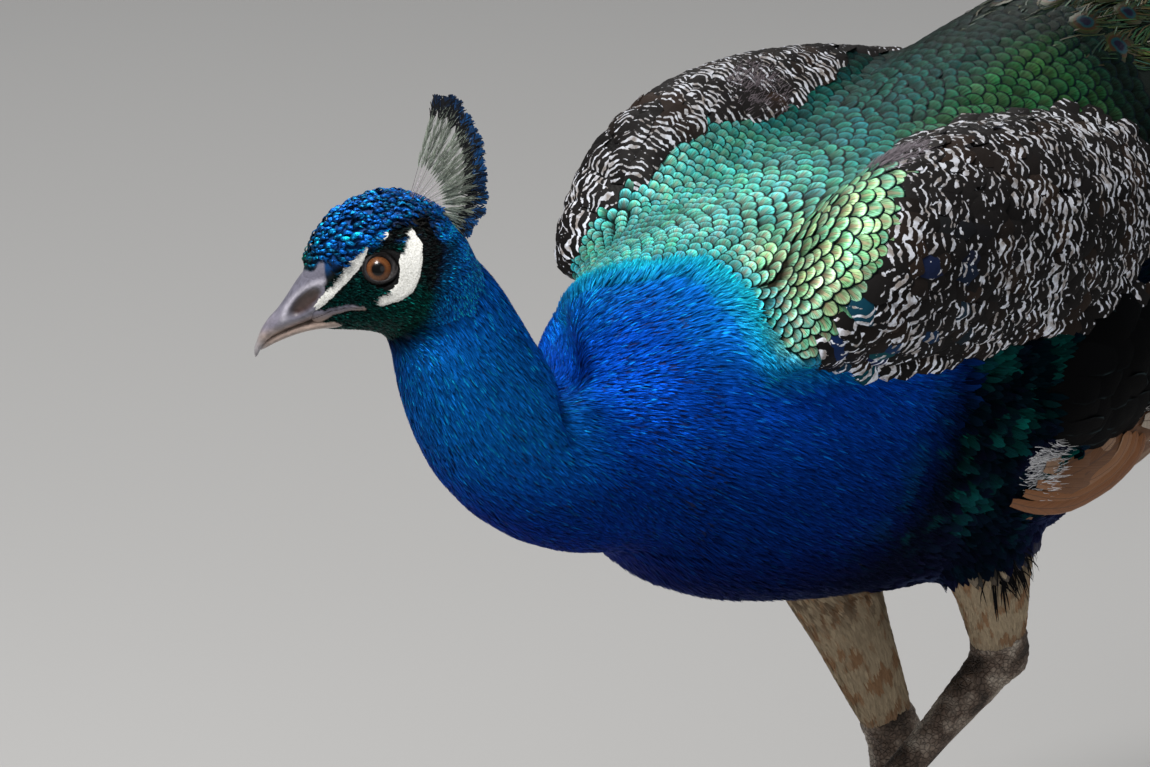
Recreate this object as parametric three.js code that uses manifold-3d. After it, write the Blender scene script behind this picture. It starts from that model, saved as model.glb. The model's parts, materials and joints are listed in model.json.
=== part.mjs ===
// A life-size Indian peacock in a slow step. The trunk leans forward, the neck reaches out and curls up, the
// head is turned to the bird's right, the left foot is lifted and the long train slopes down to the floor.
// Millimetres, +Z up, floor at Z 0. The bird faces -X and its left side is -Y. It is built about its middle
// plane, Y 0, and moved at the end so that the origin is the middle of its box.
import * as THREE from 'three';
import { mergeVertices } from 'three/addons/utils/BufferGeometryUtils.js';
import Module from 'manifold-3d';

const wasm = await Module();
wasm.setup();

// ---- driving sizes ----
const gap = 0.35; // left between neighbouring pieces
const trunkFront = -196;
const trunkEnd = 322;
const eyeRadius = 8.6;
const toeRadius = 6;
const clawLength = 15;
const crestFeathers = 22;

// ---- colours, roughness and metalness of each finish ----
const finish = (color, roughness, metalness = 0) =>
  new THREE.MeshStandardMaterial({ color, roughness, metalness });
const finishes = {
  blue: finish(0x0a2f8c, 0.45, 0.3),
  green: finish(0x2c8f6a, 0.45, 0.3),
  barred: finish(0x8a8278, 0.8),
  dark: finish(0x15161a, 0.6),
  rufous: finish(0xa8683c, 0.7),
  buff: finish(0xb49a76, 0.85),
  horn: finish(0x8c8794, 0.4),
  leg: finish(0x6d6258, 0.7),
  claw: finish(0x3a342e, 0.4),
  iris: finish(0x5a2c12, 0.08),
  brown: finish(0x6a5a48, 0.8),
  train: finish(0x2b5b34, 0.5, 0.3),
};

// ---- small tools ----
const radians = THREE.MathUtils.degToRad;

// A smooth value read from rows of [position, a, b, ...], by a cubic whose slopes don't overshoot the rows.
function between(rows, at) {
  const last = rows.length - 1;
  if (at <= rows[0][0]) return rows[0].slice(1);
  if (at >= rows[last][0]) return rows[last].slice(1);
  let i = 0;
  while (rows[i + 1][0] < at) i += 1;
  const span = rows[i + 1][0] - rows[i][0];
  const t = (at - rows[i][0]) / span;
  const slope = (k, c) => {
    if (k < 1 || k >= last) return 0;
    const before = (rows[k][c] - rows[k - 1][c]) / (rows[k][0] - rows[k - 1][0]);
    const after = (rows[k + 1][c] - rows[k][c]) / (rows[k + 1][0] - rows[k][0]);
    return before * after <= 0 ? 0 : (2 * before * after) / (before + after);
  };
  const endSlope = (k, c) => {
    const step = k === 0 ? 1 : -1;
    return (rows[k + step][c] - rows[k][c]) / (rows[k + step][0] - rows[k][0]);
  };
  return rows[0].slice(1).map((_, n) => {
    const c = n + 1;
    const m0 = i === 0 ? endSlope(0, c) : slope(i, c);
    const m1 = i + 1 === last ? endSlope(last, c) : slope(i + 1, c);
    const [a, b] = [rows[i][c], rows[i + 1][c]];
    const [t2, t3] = [t * t, t * t * t];
    const bend = m0 * (t3 - 2 * t2 + t) + m1 * (t3 - t2);
    return a * (2 * t3 - 3 * t2 + 1) + b * (3 * t2 - 2 * t3) + span * bend;
  });
}

// Every vertex of a closed drum goes where place(t, angle, r) says.
// t runs end to end, and r is 0 on the axis.
function moulded(around, along, place) {
  const drum = new THREE.CylinderGeometry(1, 1, 1, around, along);
  const points = drum.attributes.position;
  for (let i = 0; i < points.count; i += 1) {
    const [x, z] = [points.getX(i), points.getZ(i)];
    const spot = place(points.getY(i) + 0.5, Math.atan2(z, x), Math.min(1, Math.hypot(x, z)));
    points.setXYZ(i, spot.x, spot.y, spot.z);
  }
  drum.deleteAttribute('normal');
  drum.deleteAttribute('uv');
  return mergeVertices(drum, 1e-3);
}

// A closed three.js geometry as a solid, placed by a group if one is given.
// A mirrored one is turned face out.
function solid(geometry, group) {
  const bare = geometry.clone();
  if (group) {
    group.updateMatrixWorld(true);
    bare.applyMatrix4(group.matrixWorld);
  }
  bare.deleteAttribute('normal');
  bare.deleteAttribute('uv');
  const merged = mergeVertices(bare, 1e-3);
  const triVerts = Uint32Array.from(merged.index.array);
  const vertProperties = Float32Array.from(merged.attributes.position.array);
  const made = new wasm.Manifold(new wasm.Mesh({ numProp: 3, vertProperties, triVerts }));
  if (made.volume() > 0) return made;
  for (let i = 0; i < triVerts.length; i += 3) triVerts.subarray(i + 1, i + 3).reverse();
  return new wasm.Manifold(new wasm.Mesh({ numProp: 3, vertProperties, triVerts }));
}

// The largest body of a cut solid, so that no crumb of a cut is left beside it.
const largest = (made) => made.decompose().reduce((a, b) => (b.volume() > a.volume() ? b : a));

// A solid less its neighbours.
const without = (made, ...others) => largest(others.reduce((left, other) => left.subtract(other), made));

const block = (size, x, y, z) => solid(new THREE.BoxGeometry(...size).translate(x, y, z));

// An oval ring's point, squarer than an ellipse as power falls below 1.
const oval = (angle, power) => [
  Math.sign(Math.cos(angle)) * Math.abs(Math.cos(angle)) ** power,
  Math.sign(Math.sin(angle)) * Math.abs(Math.sin(angle)) ** power,
];

const bird = new THREE.Group();

// ---- trunk: upright ovals along X ----
// [x, half width, height of the widest line, back's height, belly's height]
const trunkRows = [
  [-196, 22, 388, 412, 362],
  [-184, 42, 382, 430, 334],
  [-160, 60, 373, 446, 308],
  [-127, 74, 368, 458, 283],
  [-90, 84, 368, 468, 273],
  [-45, 91, 373, 479, 264],
  [10, 95, 382, 495, 258],
  [65, 96, 395, 514, 258],
  [120, 89, 417, 530, 279],
  [180, 74, 447, 538, 327],
  [240, 54, 477, 536, 387],
  [290, 38, 491, 526, 433],
  [322, 24, 495, 516, 461],
];
const trunkLength = trunkEnd - trunkFront;
const trunkShape = (grow = 0, from = trunkFront, to = trunkEnd) =>
  moulded(22, Math.ceil((17 * (to - from)) / trunkLength), (t, angle, r) => {
    const x = THREE.MathUtils.lerp(from, to, t);
    const [halfWidth, widest, back, belly] = between(trunkRows, x);
    const [across, up] = oval(angle, 0.94);
    const reach = up > 0 ? back - widest : widest - belly;
    const end = grow * ((t === 1) - (t === 0));
    return new THREE.Vector3(x + end, r * across * (halfWidth + grow), widest + r * up * (reach + grow));
  });

// ---- neck: rings along a curve ----
// [share of the way, half width, half depth]
const neckLine = new THREE.CatmullRomCurve3(
  [
    [-40, 0, 378],
    [-127, 0, 364],
    [-190, 0, 362],
    [-229, 0, 383],
    [-250, 2, 418],
    [-259, 8, 452],
    [-264, 14, 472],
  ].map((spot) => new THREE.Vector3(...spot)),
);
const neckRows = [
  [0, 70, 72],
  [0.22, 60, 63],
  [0.42, 48, 46],
  [0.6, 39, 39],
  [0.78, 35, 36],
  [0.92, 28, 30],
  [1, 19, 21],
];
const neckShape = (grow = 0, from = 0, to = 1) =>
  moulded(18, Math.ceil(15 * (to - from)), (t, angle, r) => {
    const share = THREE.MathUtils.lerp(from, to, t);
    const along = neckLine.getTangentAt(share);
    const side = new THREE.Vector3(0, 1, 0);
    const up = new THREE.Vector3().crossVectors(side, along).normalize();
    const [halfWidth, halfDepth] = between(neckRows, share);
    return neckLine
      .getPointAt(share)
      .addScaledVector(side, r * Math.cos(angle) * (halfWidth + grow))
      .addScaledVector(up, r * Math.sin(angle) * (halfDepth + grow));
  });

// ---- head: its group sits at the middle of the skull, bill along -X, and is turned and tipped as one ----
const headGroup = new THREE.Group();
headGroup.rotation.order = 'ZYX';
headGroup.rotation.set(0, radians(-21), radians(-45));
headGroup.position.set(-284, 21, 471);
bird.add(headGroup);
const eyeSpot = { x: 0.6, side: 15.2, z: 5.2 }; // an eye's centre in the head's group

// [distance behind the middle, half width, top, bottom, height of the widest line]
const headRows = [
  [-40, 7.5, 6, -13, -4],
  [-36, 10, 12.5, -16, -4],
  [-29, 14, 21.5, -18.5, -3],
  [-18, 18.5, 30.4, -22.5, -2],
  [-7, 21.5, 34.6, -28, -2],
  [5, 24, 35.4, -32, -2],
  [16, 25, 33, -34, -3],
  [26, 23, 26, -33, -5],
  [34, 17, 15, -27, -7],
  [39, 8, 2, -18, -8],
];
const headShape = (grow = 0) =>
  moulded(18, 11, (t, angle, r) => {
    const x = THREE.MathUtils.lerp(headRows[0][0], headRows.at(-1)[0], t);
    const [halfWidth, top, bottom, widest] = between(headRows, x);
    const [across, up] = oval(angle, 0.95);
    const reach = up > 0 ? top - widest : widest - bottom;
    const end = grow * ((t === 1) - (t === 0));
    return new THREE.Vector3(x + end, r * across * (halfWidth + grow), widest + r * up * (reach + grow));
  });

// The bill's two halves: [distance behind the middle, half width, top, bottom]
const upperBillRows = [
  [-69.2, 0.8, -15.6, -17.6],
  [-67.2, 2.1, -12.1, -15.6],
  [-62.9, 3.4, -7.2, -12.2],
  [-57.9, 4.5, -3.2, -10.2],
  [-52.1, 5.7, -0.4, -9.6],
  [-45.6, 7, 4, -9.4],
  [-38, 8.6, 10.2, -9.6],
  [-30, 9.5, 14, -10.6],
];
const lowerBillRows = [
  [-65.5, 0.8, -13.2, -15],
  [-60, 2.6, -10.6, -14.4],
  [-54.6, 3.9, -9.3, -13.6],
  [-45, 5.7, -8.9, -13.2],
  [-33, 7.6, -9.9, -15.4],
  [-26, 8.4, -11.2, -16.5],
];
const billShape = (rows, grow = 0) =>
  moulded(10, 7, (t, angle, r) => {
    const x = THREE.MathUtils.lerp(rows[0][0] - grow, rows.at(-1)[0] + grow, t);
    const [halfWidth, top, bottom] = between(rows, x);
    const [across, up] = oval(angle, 0.8);
    const middle = (top + bottom) / 2;
    const halfDepth = (top - bottom) / 2;
    return new THREE.Vector3(x, r * across * (halfWidth + grow), middle + r * up * (halfDepth + grow));
  });

const eyeShape = (side, grow = 0) =>
  new THREE.SphereGeometry(eyeRadius + grow, 12, 8).translate(eyeSpot.x, side * eyeSpot.side, eyeSpot.z);

// ---- crest: a fan of stalks that ends in a rim of small vanes, standing in the head's own middle plane ----
const crest = {
  root: new THREE.Vector2(26, 21), // behind and above the middle
  firstAngle: 63, // degrees above straight back
  lastAngle: -60,
  longest: 50,
  shortest: 31,
  halfThickness: 1.6,
  narrowing: 2.4, // how soon the stalks behind the first ones shorten
  notch: 3, // depth of the saw edge between the tips
};
function crestShape(grow = 0) {
  const outline = new THREE.Shape();
  const at = (angle, reach) => [
    crest.root.x + Math.cos(angle) * reach,
    crest.root.y + Math.sin(angle) * reach,
  ];
  outline.moveTo(...at(radians(crest.firstAngle), -4));
  for (let i = 0; i <= crestFeathers * 2; i += 1) {
    const share = i / (crestFeathers * 2);
    const angle = radians(THREE.MathUtils.lerp(crest.firstAngle, crest.lastAngle, share));
    const full = THREE.MathUtils.lerp(crest.longest, crest.shortest, Math.min(1, share * crest.narrowing));
    outline.lineTo(...at(angle, full - (i % 2 ? 0 : crest.notch) + grow));
  }
  const depth = 2 * (crest.halfThickness + grow);
  const slice = new THREE.ExtrudeGeometry(outline, { depth, bevelEnabled: false });
  return slice.rotateX(Math.PI / 2).translate(0, depth / 2, 0);
}

// ---- wings: lobes over the trunk's side ----
// [x, distance from the middle plane, height, half thickness, up, down]
const wingRows = {
  coverts: [
    [-130, 76, 422, 10, 12, 14],
    [-110, 74, 434, 27, 33, 22],
    [-70, 70, 443, 37, 52, 38],
    [-20, 68, 449, 40, 57, 62],
    [40, 66, 444, 40, 55, 70],
    [100, 60, 436, 34, 50, 54],
    [160, 52, 432, 24, 36, 36],
    [205, 47, 430, 9, 14, 12],
  ],
  secondaries: [
    [-10, 70, 372, 16, 18, 18],
    [24, 73, 370, 31, 44, 38],
    [90, 70, 378, 33, 60, 52],
    [180, 58, 402, 24, 54, 52],
    [260, 50, 424, 14, 40, 38],
    [330, 44, 440, 6, 18, 17],
  ],
  primaries: [
    [2, 70, 318, 12, 14, 12],
    [40, 72, 322, 20, 26, 22],
    [120, 64, 338, 17, 30, 27],
    [230, 52, 366, 10, 26, 24],
    [340, 43, 394, 6, 18, 16],
    [425, 38, 414, 3, 8, 7],
  ],
};
// How far each wing is held up and out from the body.
const wingHold = { 1: { up: 9, out: 3 }, [-1]: { up: 0, out: 0 } };
const wingSolid = (rows, side, grow = 0) =>
  solid(
    moulded(12, 8, (t, angle, r) => {
      const x = THREE.MathUtils.lerp(rows[0][0] - grow, rows.at(-1)[0] + grow, t);
      const [away, height, halfThickness, above, below] = between(rows, x);
      const { up, out } = wingHold[side];
      const rise = Math.sin(angle);
      return new THREE.Vector3(
        x,
        side * (away + out + r * Math.cos(angle) * (halfThickness + grow)),
        height + up + r * rise * ((rise > 0 ? above : below) + grow),
      );
    }),
  );

// ---- train and tail: wide flat sweeps, the train's down to the floor ----
const trainLine = new THREE.CatmullRomCurve3(
  [
    [205, 0, 525],
    [300, 0, 513],
    [440, 0, 447],
    [620, 0, 344],
    [830, 0, 225],
    [1060, 0, 112],
    [1270, 0, 29],
    [1400, 0, 5.5],
    [1500, 0, 2],
  ].map((spot) => new THREE.Vector3(...spot)),
);
// [share of the way, half width, half thickness, droop of the edges]
const trainRows = [
  [0, 44, 10, 10],
  [0.1, 72, 26, 24],
  [0.25, 96, 22, 34],
  [0.45, 134, 15, 34],
  [0.65, 160, 10, 26],
  [0.82, 166, 7, 13],
  [0.93, 130, 5.5, 4],
  [1, 30, 2.5, 0],
];
const trainSteps = 18;
const tailSteps = 6;
const tailLine = new THREE.CatmullRomCurve3(
  [
    [286, 0, 470],
    [400, 0, 421],
    [540, 0, 346],
    [690, 0, 262],
  ].map((spot) => new THREE.Vector3(...spot)),
);
const tailRows = [
  [0, 26, 7, 4],
  [0.4, 58, 5, 12],
  [0.8, 84, 3, 14],
  [1, 48, 1.5, 6],
];
const fanSolid = (line, rows, steps, grow = 0, from = 0, to = 1) =>
  solid(
    moulded(12, Math.ceil(steps * (to - from)), (t, angle, r) => {
      const share = THREE.MathUtils.lerp(from, to, t);
      const [halfWidth, halfThickness, droop] = between(rows, share);
      const across = r * Math.cos(angle);
      const tangent = line.getTangentAt(share);
      const normal = new THREE.Vector3(-tangent.z, 0, tangent.x);
      const lift = r * Math.sin(angle) * (halfThickness + grow) - droop * across * across;
      const spot = line.getPointAt(share).addScaledVector(normal, lift);
      spot.y += across * (halfWidth + grow);
      return spot;
    }),
  );

// ---- legs ----
const legs = {
  right: {
    side: 1,
    hip: new THREE.Vector3(-10, 55, 330),
    hock: new THREE.Vector3(63, 35, 153),
    ball: new THREE.Vector3(34, 14, 9),
    footYaw: 4,
    toeDrop: 0,
  },
  left: {
    side: -1,
    hip: new THREE.Vector3(12, -62, 350),
    hock: new THREE.Vector3(57, -41, 218),
    ball: new THREE.Vector3(-44, -11, 119),
    footYaw: -4,
    toeDrop: 62,
  },
};
// [share of the way from hip to hock, half depth, half width]
const thighRows = [
  [0, 42, 32],
  [0.35, 35, 27],
  [0.6, 25, 21],
  [0.82, 19.5, 17],
  [0.95, 17.5, 15],
  [1, 15, 13],
];
// [share of the way from hock to ball, half depth, half width]
const tarsusRows = [
  [0, 14.5, 12],
  [0.07, 15, 12.5],
  [0.22, 11, 9],
  [0.6, 9.2, 7.6],
  [0.88, 9, 8],
  [1, 9, 9],
];
function limbSolid(from, to, rows, grow = 0) {
  const along = to.clone().sub(from).normalize();
  const fore = new THREE.Vector3(-1, 0, 0).addScaledVector(along, along.x).normalize();
  const side = new THREE.Vector3().crossVectors(along, fore);
  return solid(
    moulded(8, 6, (t, angle, r) => {
      const [halfDepth, halfWidth] = between(rows, t);
      return from
        .clone()
        .lerp(to, t)
        .addScaledVector(along, grow * ((t === 1) - (t === 0)))
        .addScaledVector(fore, r * Math.cos(angle) * (halfDepth + grow))
        .addScaledVector(side, r * Math.sin(angle) * (halfWidth + grow));
    }),
  );
}

const spur = { back: 20, inward: 7, rise: 9 };
const spurRows = [
  [0, 4.6, 4.6],
  [0.5, 3.4, 3.4],
  [1, 0.9, 0.9],
];

// Toes, by name: the angle from straight ahead, positive towards the outer side, the length and the root's
// height.
const toes = {
  inner: { angle: -34, length: 52, root: 0 },
  middle: { angle: 0, length: 72, root: 0 },
  outer: { angle: 32, length: 56, root: 0 },
  hind: { angle: 190, length: 24, root: 7 },
};

// A toe's middle line in the foot's own group, from the ball out. It comes down to the floor, or curls as it
// hangs.
function toePoint(leg, toe, reach) {
  const turn = radians(toe.angle * leg.side);
  const share = reach / toe.length;
  const planted = leg.toeDrop === 0;
  const hind = toe.angle > 90;
  const pitch = planted ? 0 : radians(hind ? 18 : leg.toeDrop + 10 * share * share);
  const floorDrop = toe.root + leg.ball.z - toeRadius * 0.82;
  const sink = planted ? floorDrop * Math.min(1, share * (hind ? 1.3 : 3)) : reach * Math.sin(pitch);
  const out = planted ? reach : reach * Math.cos(pitch);
  const spread = planted || hind ? 1 : 0.55;
  return new THREE.Vector3(
    -out * Math.cos(turn) - (planted || hind ? 0 : reach * 0.04),
    -(planted || hind ? out * Math.sin(turn) : reach * Math.sin(turn) * spread),
    toe.root - sink,
  );
}
// Two directions square to a toe's own, one level and one up.
function acrossAndUp(along) {
  const side = new THREE.Vector3(-along.y, along.x, 0).normalize();
  const up = new THREE.Vector3().crossVectors(along, side).normalize();
  return [side, up.z < 0 ? up.negate() : up];
}

function toeShape(leg, toe, grow = 0) {
  const spots = [0, 0.33, 0.67, 1].map((share) => toePoint(leg, toe, share * toe.length));
  const line = new THREE.CatmullRomCurve3(spots);
  return moulded(7, 5, (t, angle, r) => {
    const [side, up] = acrossAndUp(line.getTangentAt(t));
    const knuckle = 1 + 0.07 * Math.cos(t * Math.PI * 6);
    const radius = (THREE.MathUtils.lerp(1.22, 0.72, t) * knuckle * toeRadius + grow) * r;
    return line
      .getPointAt(t)
      .addScaledVector(side, Math.cos(angle) * radius)
      .addScaledVector(up, Math.sin(angle) * radius);
  });
}
function clawShape(leg, toe, grow = 0) {
  const root = toePoint(leg, toe, toe.length - 3);
  const along = toePoint(leg, toe, toe.length).sub(root).normalize();
  const [side, up] = acrossAndUp(along);
  const length = toe.angle > 90 ? clawLength * 0.7 : clawLength;
  return moulded(5, 3, (t, angle, r) => {
    const radius = THREE.MathUtils.lerp(3.4, 0.7, t) + grow;
    const bow = 2.2 * Math.sin(t * Math.PI * 0.62) - 1.6 * t;
    return root
      .clone()
      .addScaledVector(along, t * (length + grow))
      .addScaledVector(up, bow + Math.sin(angle) * radius * r * 1.1)
      .addScaledVector(side, Math.cos(angle) * radius * r * 0.8);
  });
}

// ---- put together ----
function addPart(name, made, material, group = bird) {
  const { vertProperties, triVerts } = made.getMesh();
  const geometry = new THREE.BufferGeometry()
    .setAttribute('position', new THREE.BufferAttribute(new Float32Array(vertProperties), 3))
    .setIndex(new THREE.BufferAttribute(new Uint32Array(triVerts), 1));
  geometry.computeVertexNormals();
  const mesh = new THREE.Mesh(geometry, material);
  mesh.name = name;
  group.add(mesh);
}

const belowFloor = block([4000, 2000, 40], 700, 0, -20);
const sides = { left: -1, right: 1 };

// The trunk in three lengths, and the neck in two, with the head's and the trunk's room taken out.
const trunkLengths = { breast: [trunkFront, -28 - gap], trunk: [-28, 182 - gap], rump: [182, trunkEnd] };
for (const [name, [from, to]] of Object.entries(trunkLengths))
  addPart(name, solid(trunkShape(0, from, to)), name === 'breast' ? finishes.blue : finishes.green);
const trunkCutters = Object.values(trunkLengths).map(([from, to]) => solid(trunkShape(gap, from, to)));
const neckGap = gap / neckLine.getLength();
const headRoom = [headShape(gap), ...Object.values(sides).map((side) => eyeShape(side, gap))];
const neckNeighbours = [...trunkCutters, ...headRoom.map((shape) => solid(shape, headGroup))];
addPart('neck_lower', without(solid(neckShape(0, 0.26, 0.64)), ...neckNeighbours), finishes.blue);
addPart('neck_upper', without(solid(neckShape(0, 0.64 + neckGap)), ...neckNeighbours), finishes.blue);

function addHead() {
  const room = [billShape(upperBillRows, gap), billShape(lowerBillRows, gap), crestShape(gap)];
  const eyes = Object.values(sides).map((side) => eyeShape(side, gap));
  const lower = solid(billShape(lowerBillRows, gap));
  const head = without(solid(headShape()), ...[...room, ...eyes].map((shape) => solid(shape)));
  addPart('head', head, finishes.blue, headGroup);
  addPart('bill_upper', without(solid(billShape(upperBillRows)), lower), finishes.horn, headGroup);
  addPart('bill_lower', solid(billShape(lowerBillRows)), finishes.horn, headGroup);
  addPart('crest', solid(crestShape()), finishes.blue, headGroup);
  for (const [name, side] of Object.entries(sides))
    addPart(`eye_${name}`, solid(eyeShape(side)), finishes.iris, headGroup);
}
addHead();

function addLeg(name, leg) {
  const thigh = limbSolid(leg.hip, leg.hock, thighRows);
  addPart(`thigh_${name}`, without(thigh, ...trunkCutters), finishes.buff);

  const tarsus = limbSolid(leg.hock, leg.ball, tarsusRows);
  const thighCutter = limbSolid(leg.hip, leg.hock, thighRows, gap);
  const tarsusCutter = limbSolid(leg.hock, leg.ball, tarsusRows, gap);
  addPart(`tarsus_${name}`, without(tarsus, thighCutter, belowFloor), finishes.leg);

  // The spur of a cock bird, low on the back of the leg and turned in.
  const spurRoot = leg.hock.clone().lerp(leg.ball, 0.66);
  const spurTip = spurRoot.clone().add(new THREE.Vector3(spur.back, -spur.inward * leg.side, spur.rise));
  addPart(`spur_${name}`, without(limbSolid(spurRoot, spurTip, spurRows), tarsusCutter), finishes.horn);

  // Each toe keeps clear of the tarsus, of the claws and of the toes before it.
  const foot = new THREE.Group();
  foot.position.copy(leg.ball);
  foot.rotation.z = radians(leg.footYaw);
  const room = [tarsusCutter, belowFloor];
  for (const [toeName, toe] of Object.entries(toes)) {
    const claw = solid(clawShape(leg, toe), foot);
    const clawCutter = solid(clawShape(leg, toe, gap), foot);
    const toeSolid = without(solid(toeShape(leg, toe), foot), ...room, clawCutter);
    addPart(`toe_${toeName}_${name}`, toeSolid, finishes.leg);
    addPart(`claw_${toeName}_${name}`, without(claw, belowFloor), finishes.claw);
    room.push(solid(toeShape(leg, toe, gap), foot));
  }
}
for (const [name, leg] of Object.entries(legs)) addLeg(name, leg);

function addWing(name, leg) {
  const thighCutter = limbSolid(leg.hip, leg.hock, thighRows, gap);
  const room = [...trunkCutters, solid(neckShape(gap)), thighCutter];
  const wingFinish = { coverts: finishes.barred, secondaries: finishes.dark, primaries: finishes.rufous };
  for (const [part, rows] of Object.entries(wingRows)) {
    addPart(`wing_${part}_${name}`, without(wingSolid(rows, leg.side), ...room), wingFinish[part]);
    room.push(wingSolid(rows, leg.side, gap));
  }
}
for (const [name, leg] of Object.entries(legs)) addWing(name, leg);

// The train lies over the rump and between the wings, in four lengths, and the tail proper lies under it.
const wingCutters = Object.values(sides).flatMap((side) =>
  Object.values(wingRows).map((rows) => wingSolid(rows, side, gap)),
);
const trainGap = gap / trainLine.getLength();
const trainLengths = { base: [0, 0.3], upper: [0.3, 0.52], lower: [0.52, 0.76], end: [0.76, 1] };
const trainCutters = [];
for (const [name, [from, to]] of Object.entries(trainLengths)) {
  const start = from > 0 ? from + trainGap : 0;
  const piece = fanSolid(trainLine, trainRows, trainSteps, 0, start, to);
  addPart(`train_${name}`, without(piece, ...trunkCutters, ...wingCutters, belowFloor), finishes.train);
  trainCutters.push(fanSolid(trainLine, trainRows, trainSteps, gap, start, to));
}
const tail = fanSolid(tailLine, tailRows, tailSteps);
addPart('tail', without(tail, ...trunkCutters, ...trainCutters, ...wingCutters), finishes.brown);

// The origin is the middle of the bird's box, on the floor.
const bounds = new THREE.Box3().setFromObject(bird);
bird.position.set(-(bounds.min.x + bounds.max.x) / 2, -(bounds.min.y + bounds.max.y) / 2, -bounds.min.z);

export default bird;
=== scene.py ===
import json
from math import radians

import bmesh
import bpy
import numpy as np
from mathutils import Matrix, Vector
from mathutils.bvhtree import BVHTree
from mathutils.kdtree import KDTree

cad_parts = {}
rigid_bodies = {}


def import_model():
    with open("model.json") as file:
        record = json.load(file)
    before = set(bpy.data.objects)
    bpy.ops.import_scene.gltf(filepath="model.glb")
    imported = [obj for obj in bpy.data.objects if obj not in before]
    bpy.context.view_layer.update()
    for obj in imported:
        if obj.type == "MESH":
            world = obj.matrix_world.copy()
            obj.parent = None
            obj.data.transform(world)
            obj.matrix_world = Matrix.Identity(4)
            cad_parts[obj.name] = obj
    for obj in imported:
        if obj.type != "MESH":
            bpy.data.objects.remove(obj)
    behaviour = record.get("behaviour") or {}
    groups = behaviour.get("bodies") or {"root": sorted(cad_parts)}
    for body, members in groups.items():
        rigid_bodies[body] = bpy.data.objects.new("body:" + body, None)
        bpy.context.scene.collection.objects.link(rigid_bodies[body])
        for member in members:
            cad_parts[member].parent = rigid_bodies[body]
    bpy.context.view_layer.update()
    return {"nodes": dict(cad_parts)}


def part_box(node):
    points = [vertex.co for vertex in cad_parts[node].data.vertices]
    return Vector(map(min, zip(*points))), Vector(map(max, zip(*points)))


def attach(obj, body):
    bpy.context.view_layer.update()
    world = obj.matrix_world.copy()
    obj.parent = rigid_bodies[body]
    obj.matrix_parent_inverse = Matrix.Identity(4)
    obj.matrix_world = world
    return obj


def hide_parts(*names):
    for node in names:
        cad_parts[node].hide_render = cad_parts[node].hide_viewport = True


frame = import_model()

rng = np.random.default_rng(41)
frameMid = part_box("trunk")[0].x + 0.028  # the drawing's zero along the bird


def spot(x, y, z):
    return np.array((x / 1000 + frameMid, y / 1000, z / 1000))


def unspot(points):
    return (np.asarray(points) - (frameMid, 0, 0)) * 1000


headPose = {"at": (-284, 21, 471), "turn": -45, "tip": -21}
headAt = spot(*headPose["at"])
headTurn = np.array(
    Matrix.Rotation(radians(headPose["turn"]), 3, "Z") @ Matrix.Rotation(radians(headPose["tip"]), 3, "Y"))
headSide = headTurn @ np.array((0, 1.0, 0))


def toHead(points):
    return (np.asarray(points) - headAt) @ headTurn * 1000


def fromHead(local):
    return np.asarray(local, float) / 1000 @ headTurn.T + headAt


# camera, light and floor
view = {"azimuth": -43, "elevation": 18, "lens": 200, "from": (-2081.25, -2030.59, 1303.55)}
azimuth, elevation = radians(view["azimuth"]), radians(view["elevation"])
backward = Vector(
    (np.sin(azimuth) * np.cos(elevation), -np.cos(azimuth) * np.cos(elevation), np.sin(elevation)))


def aimed(thing, at, way):
    thing.location = at
    thing.rotation_mode = "QUATERNION"
    thing.rotation_quaternion = way.to_track_quat("-Z", "Y")
    bpy.context.collection.objects.link(thing)


camera = bpy.data.objects.new("camera", bpy.data.cameras.new("camera"))
camera.data.lens = view["lens"]
camera.data.sensor_width = 36
camera.data.clip_end = 100
aimed(camera, Vector(spot(*view["from"])), -backward)
bpy.context.scene.camera = camera
bpy.context.scene.view_settings.view_transform = "Standard"

studio = {
    "key": {"at": (-2.0, -0.1, 2.7), "size": 1.0, "power": 92, "tint": (1.0, 0.98, 0.95)},
    "fill": {"at": (-1.8, -3.0, 1.5), "size": 2.4, "power": 11, "tint": (0.93, 0.96, 1.0)},
    "back": {"at": (0.6, 2.0, 2.6), "size": 1.6, "power": 26, "tint": (1.0, 0.99, 0.97)},
    "tail": {"at": (1.8, -1.6, 2.6), "size": 2.2, "power": 12, "tint": (1.0, 0.98, 0.95)},
}
aimAt = Vector(spot(-60, 0, 400))
for lampName, lamp in studio.items():
    light = bpy.data.objects.new(f"light_{lampName}", bpy.data.lights.new(lampName, "AREA"))
    light.data.shape = "DISK"
    light.data.size = lamp["size"]
    light.data.energy = lamp["power"]
    light.data.color = lamp["tint"]
    light.visible_camera = False
    aimed(light, lamp["at"], aimAt - Vector(lamp["at"]))

world = bpy.data.worlds.new("studio")
world.use_nodes = True
sky = world.node_tree.nodes["Background"]
sky.inputs["Color"].default_value = (0.8, 0.82, 0.85, 1)
sky.inputs["Strength"].default_value = 0.16
bpy.context.scene.world = world


# meshes
def makeMesh(name, points, faces):
    # faces is an array of triangles or of quads
    mesh = bpy.data.meshes.new(name)
    mesh.vertices.add(len(points))
    mesh.vertices.foreach_set("co", np.asarray(points, np.float32).ravel())
    mesh.loops.add(faces.size)
    mesh.loops.foreach_set("vertex_index", faces.astype(np.int32).ravel())
    mesh.polygons.add(len(faces))
    mesh.polygons.foreach_set("loop_start", np.arange(0, faces.size, faces.shape[1], dtype=np.int32))
    mesh.update(calc_edges=True)
    smoothShaded(mesh)
    piece = bpy.data.objects.new(name, mesh)
    bpy.context.collection.objects.link(piece)
    return piece


def smoothShaded(mesh):
    mesh.polygons.foreach_set("use_smooth", np.full(len(mesh.polygons), True))


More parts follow.
